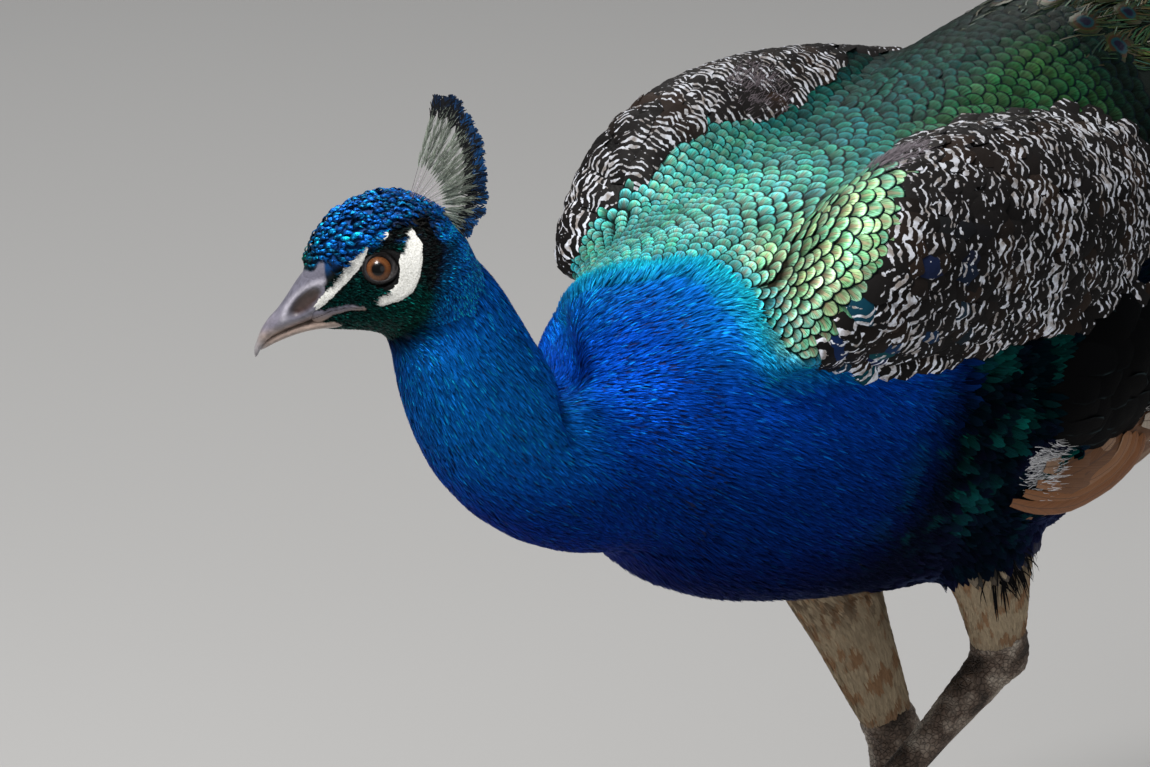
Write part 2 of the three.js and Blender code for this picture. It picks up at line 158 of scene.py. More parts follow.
def finishPiece(piece, made, slot, *stands):
    # the material, a place under the root body, and the CAD parts it stands for hidden
    piece.data.materials.clear()
    piece.data.materials.append(made)
    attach(piece, "root")
    if stands:
        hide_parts(*stands)


def pointTint(piece, colours, name="tint"):
    layer = piece.data.color_attributes.new(name, "FLOAT_COLOR", "POINT")
    full = np.ones((len(colours), 4), np.float32)
    full[:, :3] = colours
    layer.data.foreach_set("color", full.ravel())


def pointNumber(piece, name, values):
    layer = piece.data.attributes.new(name, "FLOAT", "POINT")
    layer.data.foreach_set("value", np.asarray(values, np.float32))


def readOut(items, field, width=3, kind=np.float32):
    found = np.empty(len(items) * width, kind)
    items.foreach_get(field, found)
    return found.reshape(-1, width) if width > 1 else found


def cornerMap(piece, name, perPoint):
    # a UV map given for each point
    layer = piece.data.uv_layers.new(name=name)
    corners = readOut(piece.data.loops, "vertex_index", 1, np.int32)
    layer.data.foreach_set("uv", np.asarray(perPoint, np.float32)[corners].ravel())


def pointsOf(mesh):
    return readOut(mesh.vertices, "co").astype(float)


def normalsOf(mesh):
    return readOut(mesh.vertices, "normal").astype(float)


def edgesOf(mesh):
    return readOut(mesh.edges, "vertices", 2, np.int32)


def trianglesOf(mesh):
    mesh.calc_loop_triangles()
    return readOut(mesh.loop_triangles, "vertices", 3, np.int32)


def nodeMesh(name):
    # points and triangles of a CAD node
    mesh = frame["nodes"][name].data
    return pointsOf(mesh), trianglesOf(mesh)


def treeOf(points, faces):
    return BVHTree.FromPolygons(points.tolist(), faces.tolist())


def nearTree(points):
    tree = KDTree(len(points))
    for index, point in enumerate(points.tolist()):
        tree.insert(point, index)
    tree.balance()
    return tree


def unit(vectors):
    return vectors / np.maximum(np.linalg.norm(vectors, axis=-1, keepdims=True), 1e-9)


def ramp(value, low, high):
    t = np.clip((value - low) / (high - low), 0, 1)
    return t * t * (3 - 2 * t)


def tapered(share, power=1):
    # the outline of a vane that narrows to its tip
    return lambda t: 1 - share * t**power


def summed(steps):
    return np.concatenate([[0], np.cumsum(steps)])


def runOf(line):
    # the way gone along a line, at each of its points
    return summed(np.linalg.norm(np.diff(line, axis=0), axis=1))


def alongLine(marks, run, line):
    return np.stack([np.interp(marks, run, values) for values in np.array(line, float).T], -1)


def evenTone(tone, count):
    return np.tile(tone, (count, 1))


def mix(a, b, share):
    share = np.asarray(share)[..., None]
    return np.asarray(a) * (1 - share) + np.asarray(b) * share


def ripple(points, size, seed=0):
    # a soft, even noise from -1 to 1, size in metres
    picker = np.random.default_rng(100 + seed)
    total = np.zeros(len(points))
    for octave, weight in ((1.0, 0.6), (2.1, 0.4)):
        for _ in range(5):
            wave = unit(picker.normal(size=3)) * octave * 2 * np.pi / size
            total += weight * np.sin(points @ wave + picker.uniform(0, 6.283)) / 2.4
    return np.clip(total, -1, 1)


def smoothed(points, edges, passes, strength=0.5, keep=None):
    # Laplacian smoothing; keep is how much of it each point takes
    degree = np.bincount(edges.ravel(), minlength=len(points))[:, None]
    share = strength if keep is None else strength * keep[:, None]
    for _ in range(passes):
        total = np.zeros_like(points)
        for axis in range(3):
            total[:, axis] = np.bincount(edges[:, 0], points[edges[:, 1], axis], len(points))
            total[:, axis] += np.bincount(edges[:, 1], points[edges[:, 0], axis], len(points))
        points = points + share * (total / np.maximum(degree, 1) - points)
    return points


def fused(name, sources, voxel, grow=0.0):
    # copies of CAD nodes, or (points, triangles), grown a little and joined into one closed mesh
    allPoints, allFaces, count = [], [], 0
    for source in sources:
        if isinstance(source, str):
            points, faces = nodeMesh(source)
            # the model splits vertices by normal, so matching ones are put back together
            _, first, back = np.unique(np.round(points, 6), axis=0, return_index=True, return_inverse=True)
            points, faces = points[first], back.ravel()[faces]
        else:
            points, faces = source
        a, b, c = (points[faces[:, k]] for k in range(3))
        push = np.zeros_like(points)
        face = np.cross(b - a, c - a)
        for k in range(3):
            np.add.at(push, faces[:, k], face)
        allPoints.append(points + unit(push) * grow)
        allFaces.append(faces + count)
        count += len(points)
    piece = makeMesh(name, np.concatenate(allPoints), np.concatenate(allFaces))
    remesh = piece.modifiers.new("fuse", "REMESH")
    remesh.mode = "VOXEL"
    remesh.voxel_size = voxel
    remesh.adaptivity = 0
    graph = bpy.context.evaluated_depsgraph_get()
    mesh = bpy.data.meshes.new_from_object(piece.evaluated_get(graph))
    old = piece.data
    piece.modifiers.clear()
    piece.data = mesh
    bpy.data.meshes.remove(old)
    smoothShaded(mesh)
    return piece


def aboveFloor(points, height=0.0002):
    points[..., 2] = np.maximum(points[..., 2], height)


def setPoints(piece, points):
    piece.data.vertices.foreach_set("co", np.asarray(points, np.float32).ravel())
    piece.data.update()


# materials: each helper adds to the material begun last
def material(name, **sockets):
    global nodes, links, shader
    made = bpy.data.materials.new(name)
    made.use_nodes = True
    nodes, links = made.node_tree.nodes, made.node_tree.links
    shader = nodes["Principled BSDF"]
    for socket, value in sockets.items():
        feed(shader.inputs[socket.replace("_", " ")], value)
    return made


def feed(socket, value):
    # a number or a colour is set on the socket, and anything else is joined to it
    if isinstance(value, (int, float)):
        socket.default_value = value
    elif isinstance(value, tuple):
        socket.default_value = (*value, 1)
    else:
        links.new(value, socket)


def node(kind, **settings):
    made = nodes.new(f"ShaderNode{kind}")
    for setting, value in settings.items():
        setattr(made, setting, value)
    return made


def attribute(name, output="Fac"):
    return node("Attribute", attribute_name=name).outputs[output]


def objectPlace():
    return node("TexCoord").outputs["Object"]


def stretched(vector, scale, rotation=(0, 0, 0)):
    made = node("Mapping")
    made.inputs["Scale"].default_value = scale
    made.inputs["Rotation"].default_value = rotation
    links.new(vector, made.inputs["Vector"])
    return made.outputs["Vector"]


def noiseNode(scale, detail=3.0, vector=None):
    made = node("TexNoise")
    made.inputs["Scale"].default_value = scale
    made.inputs["Detail"].default_value = detail
    links.new(objectPlace() if vector is None else vector, made.inputs["Vector"])
    return made.outputs["Fac"]


def mathNode(operation, *values):
    made = node("Math", operation=operation)
    for socket, value in zip(made.inputs, values):
        feed(socket, value)
    return made.outputs[0]


def combineNode(*values):
    made = node("CombineXYZ")
    for socket, value in zip(made.inputs, values):
        feed(socket, value)
    return made.outputs[0]


def rampNode(factor, stops):
    made = node("ValToRGB")
    elements = made.color_ramp.elements
    while len(elements) < len(stops):
        elements.new(0.5)
    for element, (position, colour) in zip(elements, stops):
        element.position = position
        element.color = (*colour, 1) if isinstance(colour, tuple) else (colour, colour, colour, 1)
    links.new(factor, made.inputs["Fac"])
    return made.outputs["Color"]


def mixNode(factor, first, second, blend="MIX"):
    made = node("Mix", data_type="RGBA", blend_type=blend)
    for index, value in ((0, factor), (6, first), (7, second)):
        feed(made.inputs[index], value)
    return made.outputs[2]


def timesNode(first, second):
    return mixNode(1.0, first, second, "MULTIPLY")


def paint(colour):
    links.new(colour, shader.inputs["Base Color"])


def bumpNode(height, strength, distance):
    made = node("Bump")
    made.inputs["Strength"].default_value = strength
    made.inputs["Distance"].default_value = distance
    links.new(height, made.inputs["Height"])
    links.new(made.outputs["Normal"], shader.inputs["Normal"])


def vaneMap():
    # across the vane -1 to 1, and along it 0 to 1
    split = node("SeparateXYZ")
    links.new(node("UVMap", uv_map="vane").outputs["UV"], split.inputs["Vector"])
    return mathNode("MULTIPLY_ADD", split.outputs["X"], 2.0, -1.0), split.outputs["Y"]


def roundEnd(across, along, slope):
    # 0 in the middle of a vane and 1 at its rounded edge
    end = mathNode("MAXIMUM", mathNode("MULTIPLY_ADD", along, slope, 1 - slope), 0.0)
    squares = mathNode("ADD", mathNode("MULTIPLY", across, across), mathNode("MULTIPLY", end, end))
    return mathNode("SQRT", squares)


def featherMaterial(name, contrast=0.5, **sockets):
    # the tint carries the colour, and fine barbs run along the vane
    made = material(name, Specular_IOR_Level=0.06, **sockets)
    shift = node("VectorMath", operation="MULTIPLY_ADD")
    links.new(objectPlace(), shift.inputs[0])
    shift.inputs[1].default_value = (60, 60, 60)
    links.new(stretched(node("UVMap", uv_map="vane").outputs["UV"], (26, 1.5, 1)), shift.inputs[2])
    barbs = noiseNode(1.0, 2.0, shift.outputs["Vector"])
    light = rampNode(barbs, [(0.3, 1 - contrast), (0.7, 1 + contrast * 0.6)])
    paint(timesNode(attribute("tint", "Color"), light))
    bumpNode(barbs, 0.35, 0.0006)
    return made


def fleckedMaterial(name, size, light, bump, **sockets):
    # the tint, made lighter and darker by fine flecks
    made = material(name, **sockets)
    fleck = noiseNode(size, 2.0)
    paint(timesNode(attribute("tint", "Color"), rampNode(fleck, light)))
    bumpNode(fleck, *bump)
    return made


floorMesh = makeMesh("floor", [(-14, -14, 0), (14, -14, 0), (14, 14, 0), (-14, 14, 0)],
                     np.array([[0, 1, 2, 3]]))
floorMade = material("floorPaint", Roughness=0.85)
paint(rampNode(noiseNode(9.0, vector=node("TexCoord").outputs["Generated"]), [(0.3, 0.44), (0.7, 0.47)]))
floorMesh.data.materials.append(floorMade)
print("stage ready")


# the lie of the feathers: lines in the drawing's millimetres, and a feather takes the way of those near it
lieLines = {
    "neck": [
        (-264, 14, 472), (-259, 8, 452), (-250, 2, 418), (-229, 0, 383), (-190, 0, 362), (-127, 0, 364),
        (-40, 0, 378)
    ],
    "neckSide": [(-277, -15, 468), (-266, -22, 440), (-251, -32, 415), (-231, -36, 388), (-198, -41, 358)],
    "neckFront": [(-285, 4, 414), (-271, -7, 381), (-245, -18, 354), (-210, -28, 338)],
    "back": [(60, 0, 505), (180, 0, 525), (322, 0, 500)],
    "mantleFar": [(-150, 25, 444), (-120, 45, 450), (-94, 49, 465), (-63, 47, 488), (-21, 50, 504)],
    "mantleUp": [(-151, -5, 448), (-116, 19, 458), (-64, 40, 473), (-7, 44, 498)],
    "mantleMiddle": [(-131, -23, 453), (-98, -6, 465), (-50, 7, 477), (5, 16, 491), (44, 1, 507)],
    "mantleNear": [(-60, -30, 485), (10, -20, 497), (60, -20, 508)],
    "shoulder": [(-119, -40, 448), (-95, -35, 458), (-86, -55, 470), (-72, -78, 480)],
    "shoulderLow": [(-112, -51, 442), (-112, -72, 455), (-105, -84, 461), (-90, -96, 456)],
    "breastTop": [(-183, 5, 425), (-164, -18, 440), (-135, -28, 449)],
    "flank": [(-80, -95, 410), (-20, -96, 398), (60, -95, 385), (200, -75, 405), (330, -45, 430)],
    "breastArch": [
        (-193, -12, 412), (-172, -33, 424), (-142, -48, 431), (-122, -84, 418), (-94, -84, 398),
        (-64, -88, 377), (-18, -89, 342)
    ],
    "breastSide": [(-197, -20, 400), (-175, -43, 401), (-145, -64, 392), (-102, -80, 370), (-42, -86, 337),
                   (7, -79, 309)],
    "breastLow": [(-211, -35, 388), (-176, -45, 368), (-140, -66, 346), (-80, -72, 313), (6, -54, 278)],
    "breastUnder": [(-209, -39, 365), (-177, -38, 338), (-142, -49, 315), (-94, -53, 295)],
    "shoulderFront": [(-110, -51, 441), (-123, -76, 443), (-124, -86, 433), (-124, -89, 424)],
    "shoulderEdge": [(-109, -75, 460), (-108, -89, 452), (-108, -95, 437), (-108, -94, 424)],
    "primary": [(2, -76, 315), (120, -70, 336), (230, -58, 364), (425, -40, 414)],
    "belly": [(-150, 0, 300), (-60, 0, 262), (60, 0, 260), (160, 0, 320), (290, 0, 430)],
    "thighLeft": [(20, -62, 310), (57, -41, 218), (60, -42, 200)],
    "thighRight": [(20, 55, 280), (63, 35, 153), (66, 35, 140)],
}
for name in ("flank", "breastArch", "breastSide", "breastLow", "breastUnder", "shoulderFront",
             "shoulderEdge", "primary"):
    lieLines[f"{name}Right"] = [(x, -y, z) for x, y, z in lieLines[name]]
guideAt, guideWay = [], []
for line in lieLines.values():
    corners = [spot(*corner) for corner in line]
    for first, second in zip(corners, corners[1:]):
        for share in (0.2, 0.5, 0.8):
            guideAt.append(first + (second - first) * share)
            guideWay.append(unit(second - first))
for local in [(-25, 0, 24), (0, 20, 20), (0, -20, 20), (25, 0, 28), (28, 18, 0), (28, -18, 0), (-20, 12, -10),
              (-20, -12, -10), (5, 18, -22), (5, -18, -22)]:
    guideAt.append(fromHead(local))
    guideWay.append(unit(np.array((1.0, 0.0, -0.3)) @ headTurn.T))
guideAt, guideWay = np.array(guideAt), np.array(guideWay)


def lie(points, normals):
    ways = np.empty_like(points)
    for start in range(0, len(points), 20000):
        part = points[start : start + 20000]
        gapSquared = ((part[:, None, :] - guideAt[None]) ** 2).sum(2)
        weight = 1 / (gapSquared + 1e-4) ** 2
        ways[start : start + 20000] = weight @ guideWay
    ways -= (ways * normals).sum(1, keepdims=True) * normals
    return unit(ways)


# colours of the plumage, the same for skin and coat
hues = {
    "crown": (0.003, 0.12, 0.50),
    "forehead": (0.0, 0.055, 0.075),
    "face": (0.001, 0.010, 0.010),
    "cheek": (0.0, 0.017, 0.015),
    "nape": (0.003, 0.10, 0.46),
    "neck": (0.003, 0.115, 0.44),
    "breast": (0.002, 0.062, 0.46),
    "azureHighlight": (0.004, 0.17, 0.58),
    "belly": (0.0004, 0.0035, 0.0045),
    "flankGreen": (0.001, 0.036, 0.030),
    "cyanRim": (0.01, 0.38, 0.52),
    "goldLit": (0.30, 0.60, 0.33),
    "rearGreen": (0.025, 0.105, 0.030),
    "barred": (0.008, 0.007, 0.007),
    "dark": (0.0016, 0.0018, 0.0022),
    "quillShadow": (0.035, 0.020, 0.012),
    "cream": (0.42, 0.33, 0.22),
    "chestnut": (0.20, 0.085, 0.035),
    "bare": (0.002, 0.0022, 0.0026),
}
# the scales darken from the shoulders to the train, partly their own deeper green and partly painted shade:
# green along the back at x
backTones = {
    "x": (-150, -110, -60, -15, 30, 70, 105, 330),
    "tone": ((0.05, 0.44, 0.44), (0.10, 0.46, 0.42), (0.07, 0.38, 0.34), (0.011, 0.13, 0.12),
             (0.003, 0.060, 0.054), (0.002, 0.024, 0.018), (0.002, 0.010, 0.007), (0.002, 0.010, 0.006)),
}
mantleFront = {"y": (-95, -83, -46, -19, -3, 23, 60, 75),
               "x": (-118, -129, -128, -133, -149, -160, -140, -128)}
foldLine = [
    (-205, 52, 380), (-190, 44, 405), (-173, 34, 421), (-188, 12, 417), (-196, 0, 412), (-207, -16, 409),
    (-215, -30, 400), (-214, -36, 387), (-211, -39, 375)
]


def polylineGap(flat, line, radii):
    # signed gap in mm to a chain of round-ended strokes of changing width, negative inside
    best = np.full(len(flat), 1e9)
    line = np.asarray(line, float)
    for first, second, r1, r2 in zip(line, line[1:], radii, radii[1:]):
        way = second - first
        share = np.clip(((flat - first) @ way) / (way @ way), 0, 1)
        gapHere = np.linalg.norm(flat - (first + share[:, None] * way), axis=1) - (r1 + (r2 - r1) * share)
        best = np.minimum(best, gapHere)
    return best


def sideGap(local, line, radii):
    # the same on the side of the head, in its own x and z
    return polylineGap(local[:, [0, 2]], line, radii)


# bare white skin, in the head's own x and z
whiteMarks = {
    "stripe": (
        [(-0.6, 17.4), (-5, 14.2), (-10, 10.9), (-16.8, 7.0), (-23.9, 2.6), (-31.7, -1.9), (-37.5, -4.0)],
        (0.7, 2.0, 2.7, 2.5, 1.9, 1.4, 0.7),
    ),
    "patch": (
        [(19.6, 17.0), (18.6, 11), (16.0, 5.5), (13.4, -0.2), (10.0, -4.2), (4.5, -6.4), (-4.0, -7.2)],
        (2.2, 4.6, 5.0, 4.3, 3.7, 3.2, 2.4),
    ),
    "fleck": ([(6.2, 19.2), (9.4, 20.2)], (1.2, 1.3)),
}
velvet = [(5, 15.5), (12, 19.5), (24, 18), (26.5, 5), (20, -6)]
eyeSpot = {"x": 0.6, "side": 15.2, "z": 5.2, "radius": 8.6, "way": (0.08, 0.955, 0.27)}


def whiteGap(local):
    return np.min([sideGap(local, *mark) for mark in whiteMarks.values()], axis=0)


def blackGap(local):
    # the bare dark skin close round the eye
    aroundEye = np.hypot((local[:, 0] - 3.4) / 1.18, local[:, 2] - 6.3) - 9.2
    lores = sideGap(local, [(-2, 11.5), (-7, 8.4)], (2.4, 1.2))
    return np.minimum(aroundEye, lores)


# how far from the middle plane the mantle reaches over each wing, at x along the body
mantleReach = {
    -1: [(-150, 90), (-119, 90), (-92, 92), (-75, 86), (-48, 54), (7, 24), (28, 32), (47, 45), (66, 62),
         (116, 74)],
    1: [(-150, 76), (-126, 71), (-113, 60), (-91, 54), (-60, 51), (-31, 40), (0, 44), (37, 60), (80, 68),
        (116, 72)],
}


def wingMask(mm):
    # 1 where the barred wing shows, 0 on the mantle and the blue
    x, y, z = mm.T
    gapOut = np.full(len(mm), -50.0)
    for side, reach in mantleReach.items():
        xs, ys = np.array(reach).T
        mine = np.sign(y) == side
        gapOut[mine] = np.abs(y[mine]) - np.interp(x[mine], xs, ys)
    # the near shoulder's edge, read along a slant that runs up and to the right
    aside = 0.73 * x - 0.68 * y
    height = 0.21 * x + 0.226 * y + 0.951 * z
    gapFront = aside - np.interp(height, [340, 380, 403, 426, 449, 470], [-34, -22, -3, 4, 4, 6])
    gapTop = np.interp(aside, [-50, 2, 21, 42, 65, 92, 136, 250],
                       [470, 452, 463, 469, 470, 468, 461, 440]) - height
    slanted = np.minimum(gapFront, gapTop) * (1 - ramp(x, 100, 140)) + gapOut * ramp(x, 100, 140)
    return np.where(y < 0, slanted, gapOut)


def mantleGap(mm):
    # how far behind the front edge of the mantle a place is, in mm
    return mm[:, 0] - np.interp(mm[:, 1], mantleFront["y"], mantleFront["x"])


def foldNear(mm):
    # 1 in the fold between neck and back, fading out beside it and towards the breast
    gapHere = polylineGap(mm, foldLine, np.zeros(len(foldLine)))
    return np.exp(-((gapHere / 7) ** 2)) * ramp(mm[:, 2], 372, 405)


def thighTop(mm):
    # the dark feathers of the belly hang over the thighs down to here
    return np.where(mm[:, 1] < 0, np.interp(mm[:, 0], [10, 60, 90], [280, 293, 302]), 300)


def plumage(points, wing=None, thigh=None):
    # colour by place on the bird; wing is 1 where the place belongs to a wing
    mm = unspot(points)
    local = toHead(points)
    x, y, z = mm.T
    headReach = (local - (-2, 0, 5)) * np.where(local < 0, (0.8, 1, 1), 1.0) * (0.92, 1, 1)
    headShare = 1 - ramp(np.linalg.norm(headReach, axis=1), 33, 45)
    # neck and breast
    colour = evenTone(hues["breast"], len(mm))
    upNeck = ramp(z, 345, 405) * (1 - ramp(x, -222, -185))
    # painted shade: the breast and lower neck darker towards the bottom
    shade = 1 - (0.60 * ramp(-z, -408, -345) + 0.24 * ramp(-z, -350, -300)) * (1 - upNeck)
    colour = mix(colour, hues["neck"], upNeck)
    colour = mix(colour, hues["nape"], ramp(z, 430, 470) * (1 - ramp(x, -230, -200)))
    behindEdge = mantleGap(mm)
    high = ramp(z, 395, 430)
    # painted azure highlight on the top of the breast before the mantle
    colour = mix(colour, hues["azureHighlight"], ramp(behindEdge, -45, -8) * high * 0.65)
    colour = mix(colour, hues["cyanRim"], ramp(behindEdge, -13, 0) * high * 0.8)
    # the painted shade goes on, held back high near the mantle's front edge
    colour = colour * np.maximum(shade, ramp(behindEdge, -30, -5) * high)[:, None]
    # painted shade in the fold between neck and back
    colour = colour * (1 - 0.72 * foldNear(mm))[:, None]
    # belly and flank
    flank = ramp(x + 0.35 * (390 - z), -66, -14)
    patches = ramp(ripple(points, 0.028, 9), 0.05, 0.6)
    colour = mix(colour, mix(hues["belly"], hues["flankGreen"], patches * ramp(z, 290, 330)),
                 flank * (z < 430))
    colour = mix(colour, hues["belly"], ramp(-z, -318, -282) * 0.8)
    # mantle and back
    mantle = ramp(behindEdge + 3 * ripple(points, 0.03, 3), -3, 3)
    mantle = mantle * ramp(z - np.interp(x, [-150, -110, 60], [418, 422, 440]), -4, 4)
    scale = alongLine(x, backTones["x"], backTones["tone"])
    scale = scale * np.exp(0.25 * ripple(points, 0.06, 5))[:, None]
    scale = mix(scale, hues["rearGreen"], ramp(-y, 5, 35) * ramp(x, -30, 20) * (1 - ramp(x, 70, 110)) * 0.75)
    # painted shade: the mantle darker on the far side
    scale = scale * (1 - 0.45 * ramp(y, 25, 60) * ramp(x, -110, -40))[:, None]
    # pale gold on the near shoulder: partly the scales' own gold, partly painted light
    outward = np.hypot((x + 100) / 46, (y + 68) / 34)
    scale = mix(scale, hues["goldLit"], 1 - ramp(outward, 0.5, 1.5))
    scale = mix(scale, hues["cyanRim"], (1 - ramp(behindEdge, 3, 20)) * (0.4 + 0.6 * (1 - ramp(-y, 50, 80))))
    colour = mix(colour, scale, mantle)
    if wing is not None:
        barred = ramp(wingMask(mm), -2, 2) * wing
        colour = mix(colour, hues["barred"], barred)
        dark = wing * ramp(-(z - np.interp(x, [-10, 30, 60, 120, 330], [372, 352, 398, 410, 430])), -4, 4)
        colour = mix(colour, hues["dark"], dark * ramp(x, 0, 12))
        # painted shadow on the skin low under the flight feathers
        low = ramp(-(z - np.interp(x, [0, 60, 200, 420], [328, 338, 370, 418])), -3, 3)
        colour = mix(colour, hues["quillShadow"], dark * low * ramp(x, 0, 8))
    if thigh is not None:
        colour = mix(colour, hues["cream"], thigh * ramp(thighTop(mm) - z, -4, 4))
    # head
    crownShare = ramp(local[:, 2] - np.interp(local[:, 0], [-30, -10, 8, 30], [8, 15, 19, 8]), -2, 3)
    headColour = mix(evenTone(hues["face"], len(mm)), hues["cheek"], ramp(-local[:, 2], 0, 16))
    crownColour = mix(evenTone(hues["crown"], len(mm)), hues["forehead"], 1 - ramp(local[:, 0], -34, -14))
    sheen = 0.55 * ramp(ripple(points, 0.006, 13), 0.0, 0.7)
    headColour = mix(headColour, hues["cheek"], sheen)
    black = (1 - ramp(sideGap(local, velvet, (2.0, 3.5, 4.0, 4.5, 3.0)), -2, 3)) * (np.abs(local[:, 1]) > 6)
    headColour = mix(headColour, crownColour, crownShare)
    headColour = mix(headColour, hues["bare"], black)
    headColour = mix(headColour, hues["nape"], ramp(local[:, 0], 33, 42) * ramp(local[:, 2], -22, 0))
    colour = mix(colour, headColour, headShare)
    return np.clip(colour, 0, 1)


# skin: every fleshy part fused into one
skinSizes = {"voxel": 0.0026, "passes": 30, "grow": 0.0006}
coatDepth = {"head": 1.2, "neck": 2.4, "breast": 3.2, "trunk": 3.6, "rump": 4.0, "thigh": 2.0, "wing": 3.6}
headRings = {
    "along": 48, "around": 64,
    # behind the middle: half width, top, bottom, widest line
    "x": [-40, -36, -29, -18, -7, 5, 16, 26, 34, 39],
    "half": [7.5, 10, 14, 18.5, 21.5, 24, 25, 23, 17, 8],
    "top": [6, 12.5, 21.5, 30.4, 34.6, 35.4, 33, 26, 15, 2],
    "low": [-13, -16, -18.5, -22.5, -28, -32, -34, -33, -27, -18],
    "wide": [-4, -4, -3, -2, -2, -2, -3, -5, -7, -8],
}


def smoothRead(at, xs, ys):
    # a smooth curve through the values, for rings between the given ones
    xs, ys = np.asarray(xs, float), np.asarray(ys, float)
    slopes = np.gradient(ys, xs)
    k = np.clip(np.searchsorted(xs, at) - 1, 0, len(xs) - 2)
    span = xs[k + 1] - xs[k]
    t = np.clip((at - xs[k]) / span, 0, 1)
    hermite = (2 * t**3 - 3 * t**2 + 1) * ys[k] + (3 * t**2 - 2 * t**3) * ys[k + 1]
    return hermite + span * ((t**3 - 2 * t**2 + t) * slopes[k] + (t**3 - t**2) * slopes[k + 1])


def loft(rings, capped=True):
    # rings is (along, around, 3); gives points and triangles of a closed skin
    along, around = rings.shape[:2]
    points = rings.reshape(-1, 3)
    a = np.arange(around)
    b = (a + 1) % around
    faces = []
    for k in range(along - 1):
        low, high = k * around, (k + 1) * around
        faces.append(np.stack([low + a, low + b, high + b], 1))
        faces.append(np.stack([low + a, high + b, high + a], 1))
    if capped:
        ends = np.array([rings[0].mean(0), rings[-1].mean(0)])
        points = np.concatenate([points, ends])
        first = np.full(around, along * around)
        faces.append(np.stack([first, b, a], 1))
        last = (along - 1) * around
        faces.append(np.stack([first + 1, last + a, last + b], 1))
    return points, np.concatenate(faces)


def facingOut(points, faces):
    a, b, c = (points[faces[:, k]] for k in range(3))
    return faces if (a * np.cross(b, c)).sum() > 0 else faces[:, ::-1]


def headLoft():
    xs = np.linspace(headRings["x"][0], headRings["x"][-1], headRings["along"])
    around = headRings["around"]
    angles = np.linspace(0, 2 * np.pi, around, endpoint=False)
    read = {key: smoothRead(xs, headRings["x"], headRings[key])[:, None] for key in ("half", "top", "low",
                                                                                     "wide")}
    across, up = np.cos(angles)[None], np.sin(angles)[None]
    reach = np.where(up > 0, read["top"] - read["wide"], read["wide"] - read["low"])
    rings = np.stack([np.repeat(xs[:, None], around, 1), across * read["half"], read["wide"] + up * reach], 2)
    points, faces = loft(fromHead(rings))
    return points, facingOut(points - points.mean(0), faces)


fleshNodes = ["neck_upper", "neck_lower", "breast", "trunk", "rump", "thigh_left", "thigh_right"]
wingNodes = [f"wing_{part}_{side}" for part in ("coverts", "secondaries", "primaries") for side in ("left",
                                                                                                    "right")]
skin = fused("skin", [headLoft(), *fleshNodes, *wingNodes], skinSizes["voxel"], skinSizes["grow"])
print("skin fused", len(skin.data.polygons))

ownerNames = ["head", *fleshNodes, *wingNodes]
ownerDepth = np.array([coatDepth[name.split("_")[0]] for name in ownerNames])


ownerTrees = [treeOf(*(headLoft() if name == "head" else nodeMesh(name))) for name in ownerNames]


def ownerStarts(word):
    return np.array([name.startswith(word) for name in ownerNames])


def ownersOf(points):
    gaps = np.full((len(ownerNames), len(points)), 1.0)
    for index, name in enumerate(ownerNames):
        low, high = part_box(name)
        near = np.all((points > np.array(low) - 0.012) & (points < np.array(high) + 0.012), axis=1)
        tree = ownerTrees[index]
        gaps[index, near] = [tree.find_nearest(point)[3] for point in points[near].tolist()]
    return gaps.argmin(0)


skinPoints, skinEdges = pointsOf(skin.data), edgesOf(skin.data)
owner = ownersOf(skinPoints)
depth = ownerDepth[owner] / 1000
isWing = ownerStarts("wing")[owner]
isThin = ownerStarts("wing_primaries")[owner]
keepSmooth = np.where(isWing, 0.8, 1.0) * np.where(owner == 0, 0.35, 1.0)
skinPoints = smoothed(skinPoints, skinEdges, skinSizes["passes"], 0.5, keepSmooth)
# the shoulders' feathers bridge the crease between wing and back
mm = unspot(skinPoints)
bridge = ramp(mm[:, 0], -175, -140) * (1 - ramp(mm[:, 0], -10, 50)) * ramp(mm[:, 2], 408, 432)
skinPoints = smoothed(skinPoints, skinEdges, 160, 0.5, bridge)
setPoints(skin, skinPoints)
foldDepth = 7.5
skinPoints = skinPoints - normalsOf(skin.data) * (foldNear(unspot(skinPoints)) * foldDepth / 1000)[:, None]
setPoints(skin, skinPoints)
blurred = smoothed(np.repeat(depth[:, None], 3, 1), skinEdges, 12)[:, 0]
blurred = np.where(isThin, np.minimum(blurred, 0.0012), blurred)
skinPoints = skinPoints - normalsOf(skin.data) * blurred[:, None]
setPoints(skin, skinPoints)
print("skin smoothed and inset")


# marks of the bill, which go on over the root of the forehead
nostril = {"at": (-37.0, 0.9), "half": (11.2, 4.0), "tilt": 25, "depth": 2.6, "rim": 0.6}
mouthLine = [(-46, -9.6), (-36, -7.8), (-27.2, -5.7), (-18.2, -5.9), (-12.4, -8.4)]


def nostrilShare(local):
    # how deep in the nostril's hollow a place of the head lies, and how near its raised rim
    x, z = local[:, 0] - nostril["at"][0], local[:, 2] - nostril["at"][1]
    tilt = radians(nostril["tilt"])
    along = (x * np.cos(tilt) + z * np.sin(tilt)) / nostril["half"][0]
    across = (-x * np.sin(tilt) + z * np.cos(tilt)) / nostril["half"][1]
    reach = np.hypot(along, across)
    rim = np.exp(-((reach - 1.22) / 0.22) ** 2) * ramp(across, -0.6, 0.5)
    return 1 - ramp(reach, 0.6, 1.05), rim


def hornGap(local):
    # the bare horn at the root of the bill and the strip along the gape, negative inside
    root = sideGap(local, [(-42, 3), (-32, 7), (-27.5, 9.6), (-23.2, 15.6)], (9, 6.2, 3.6, 0.9))
    gape = sideGap(local, mouthLine, (3.2, 3.0, 1.9, 1.6, 0.9))
    return np.minimum(root, gape)


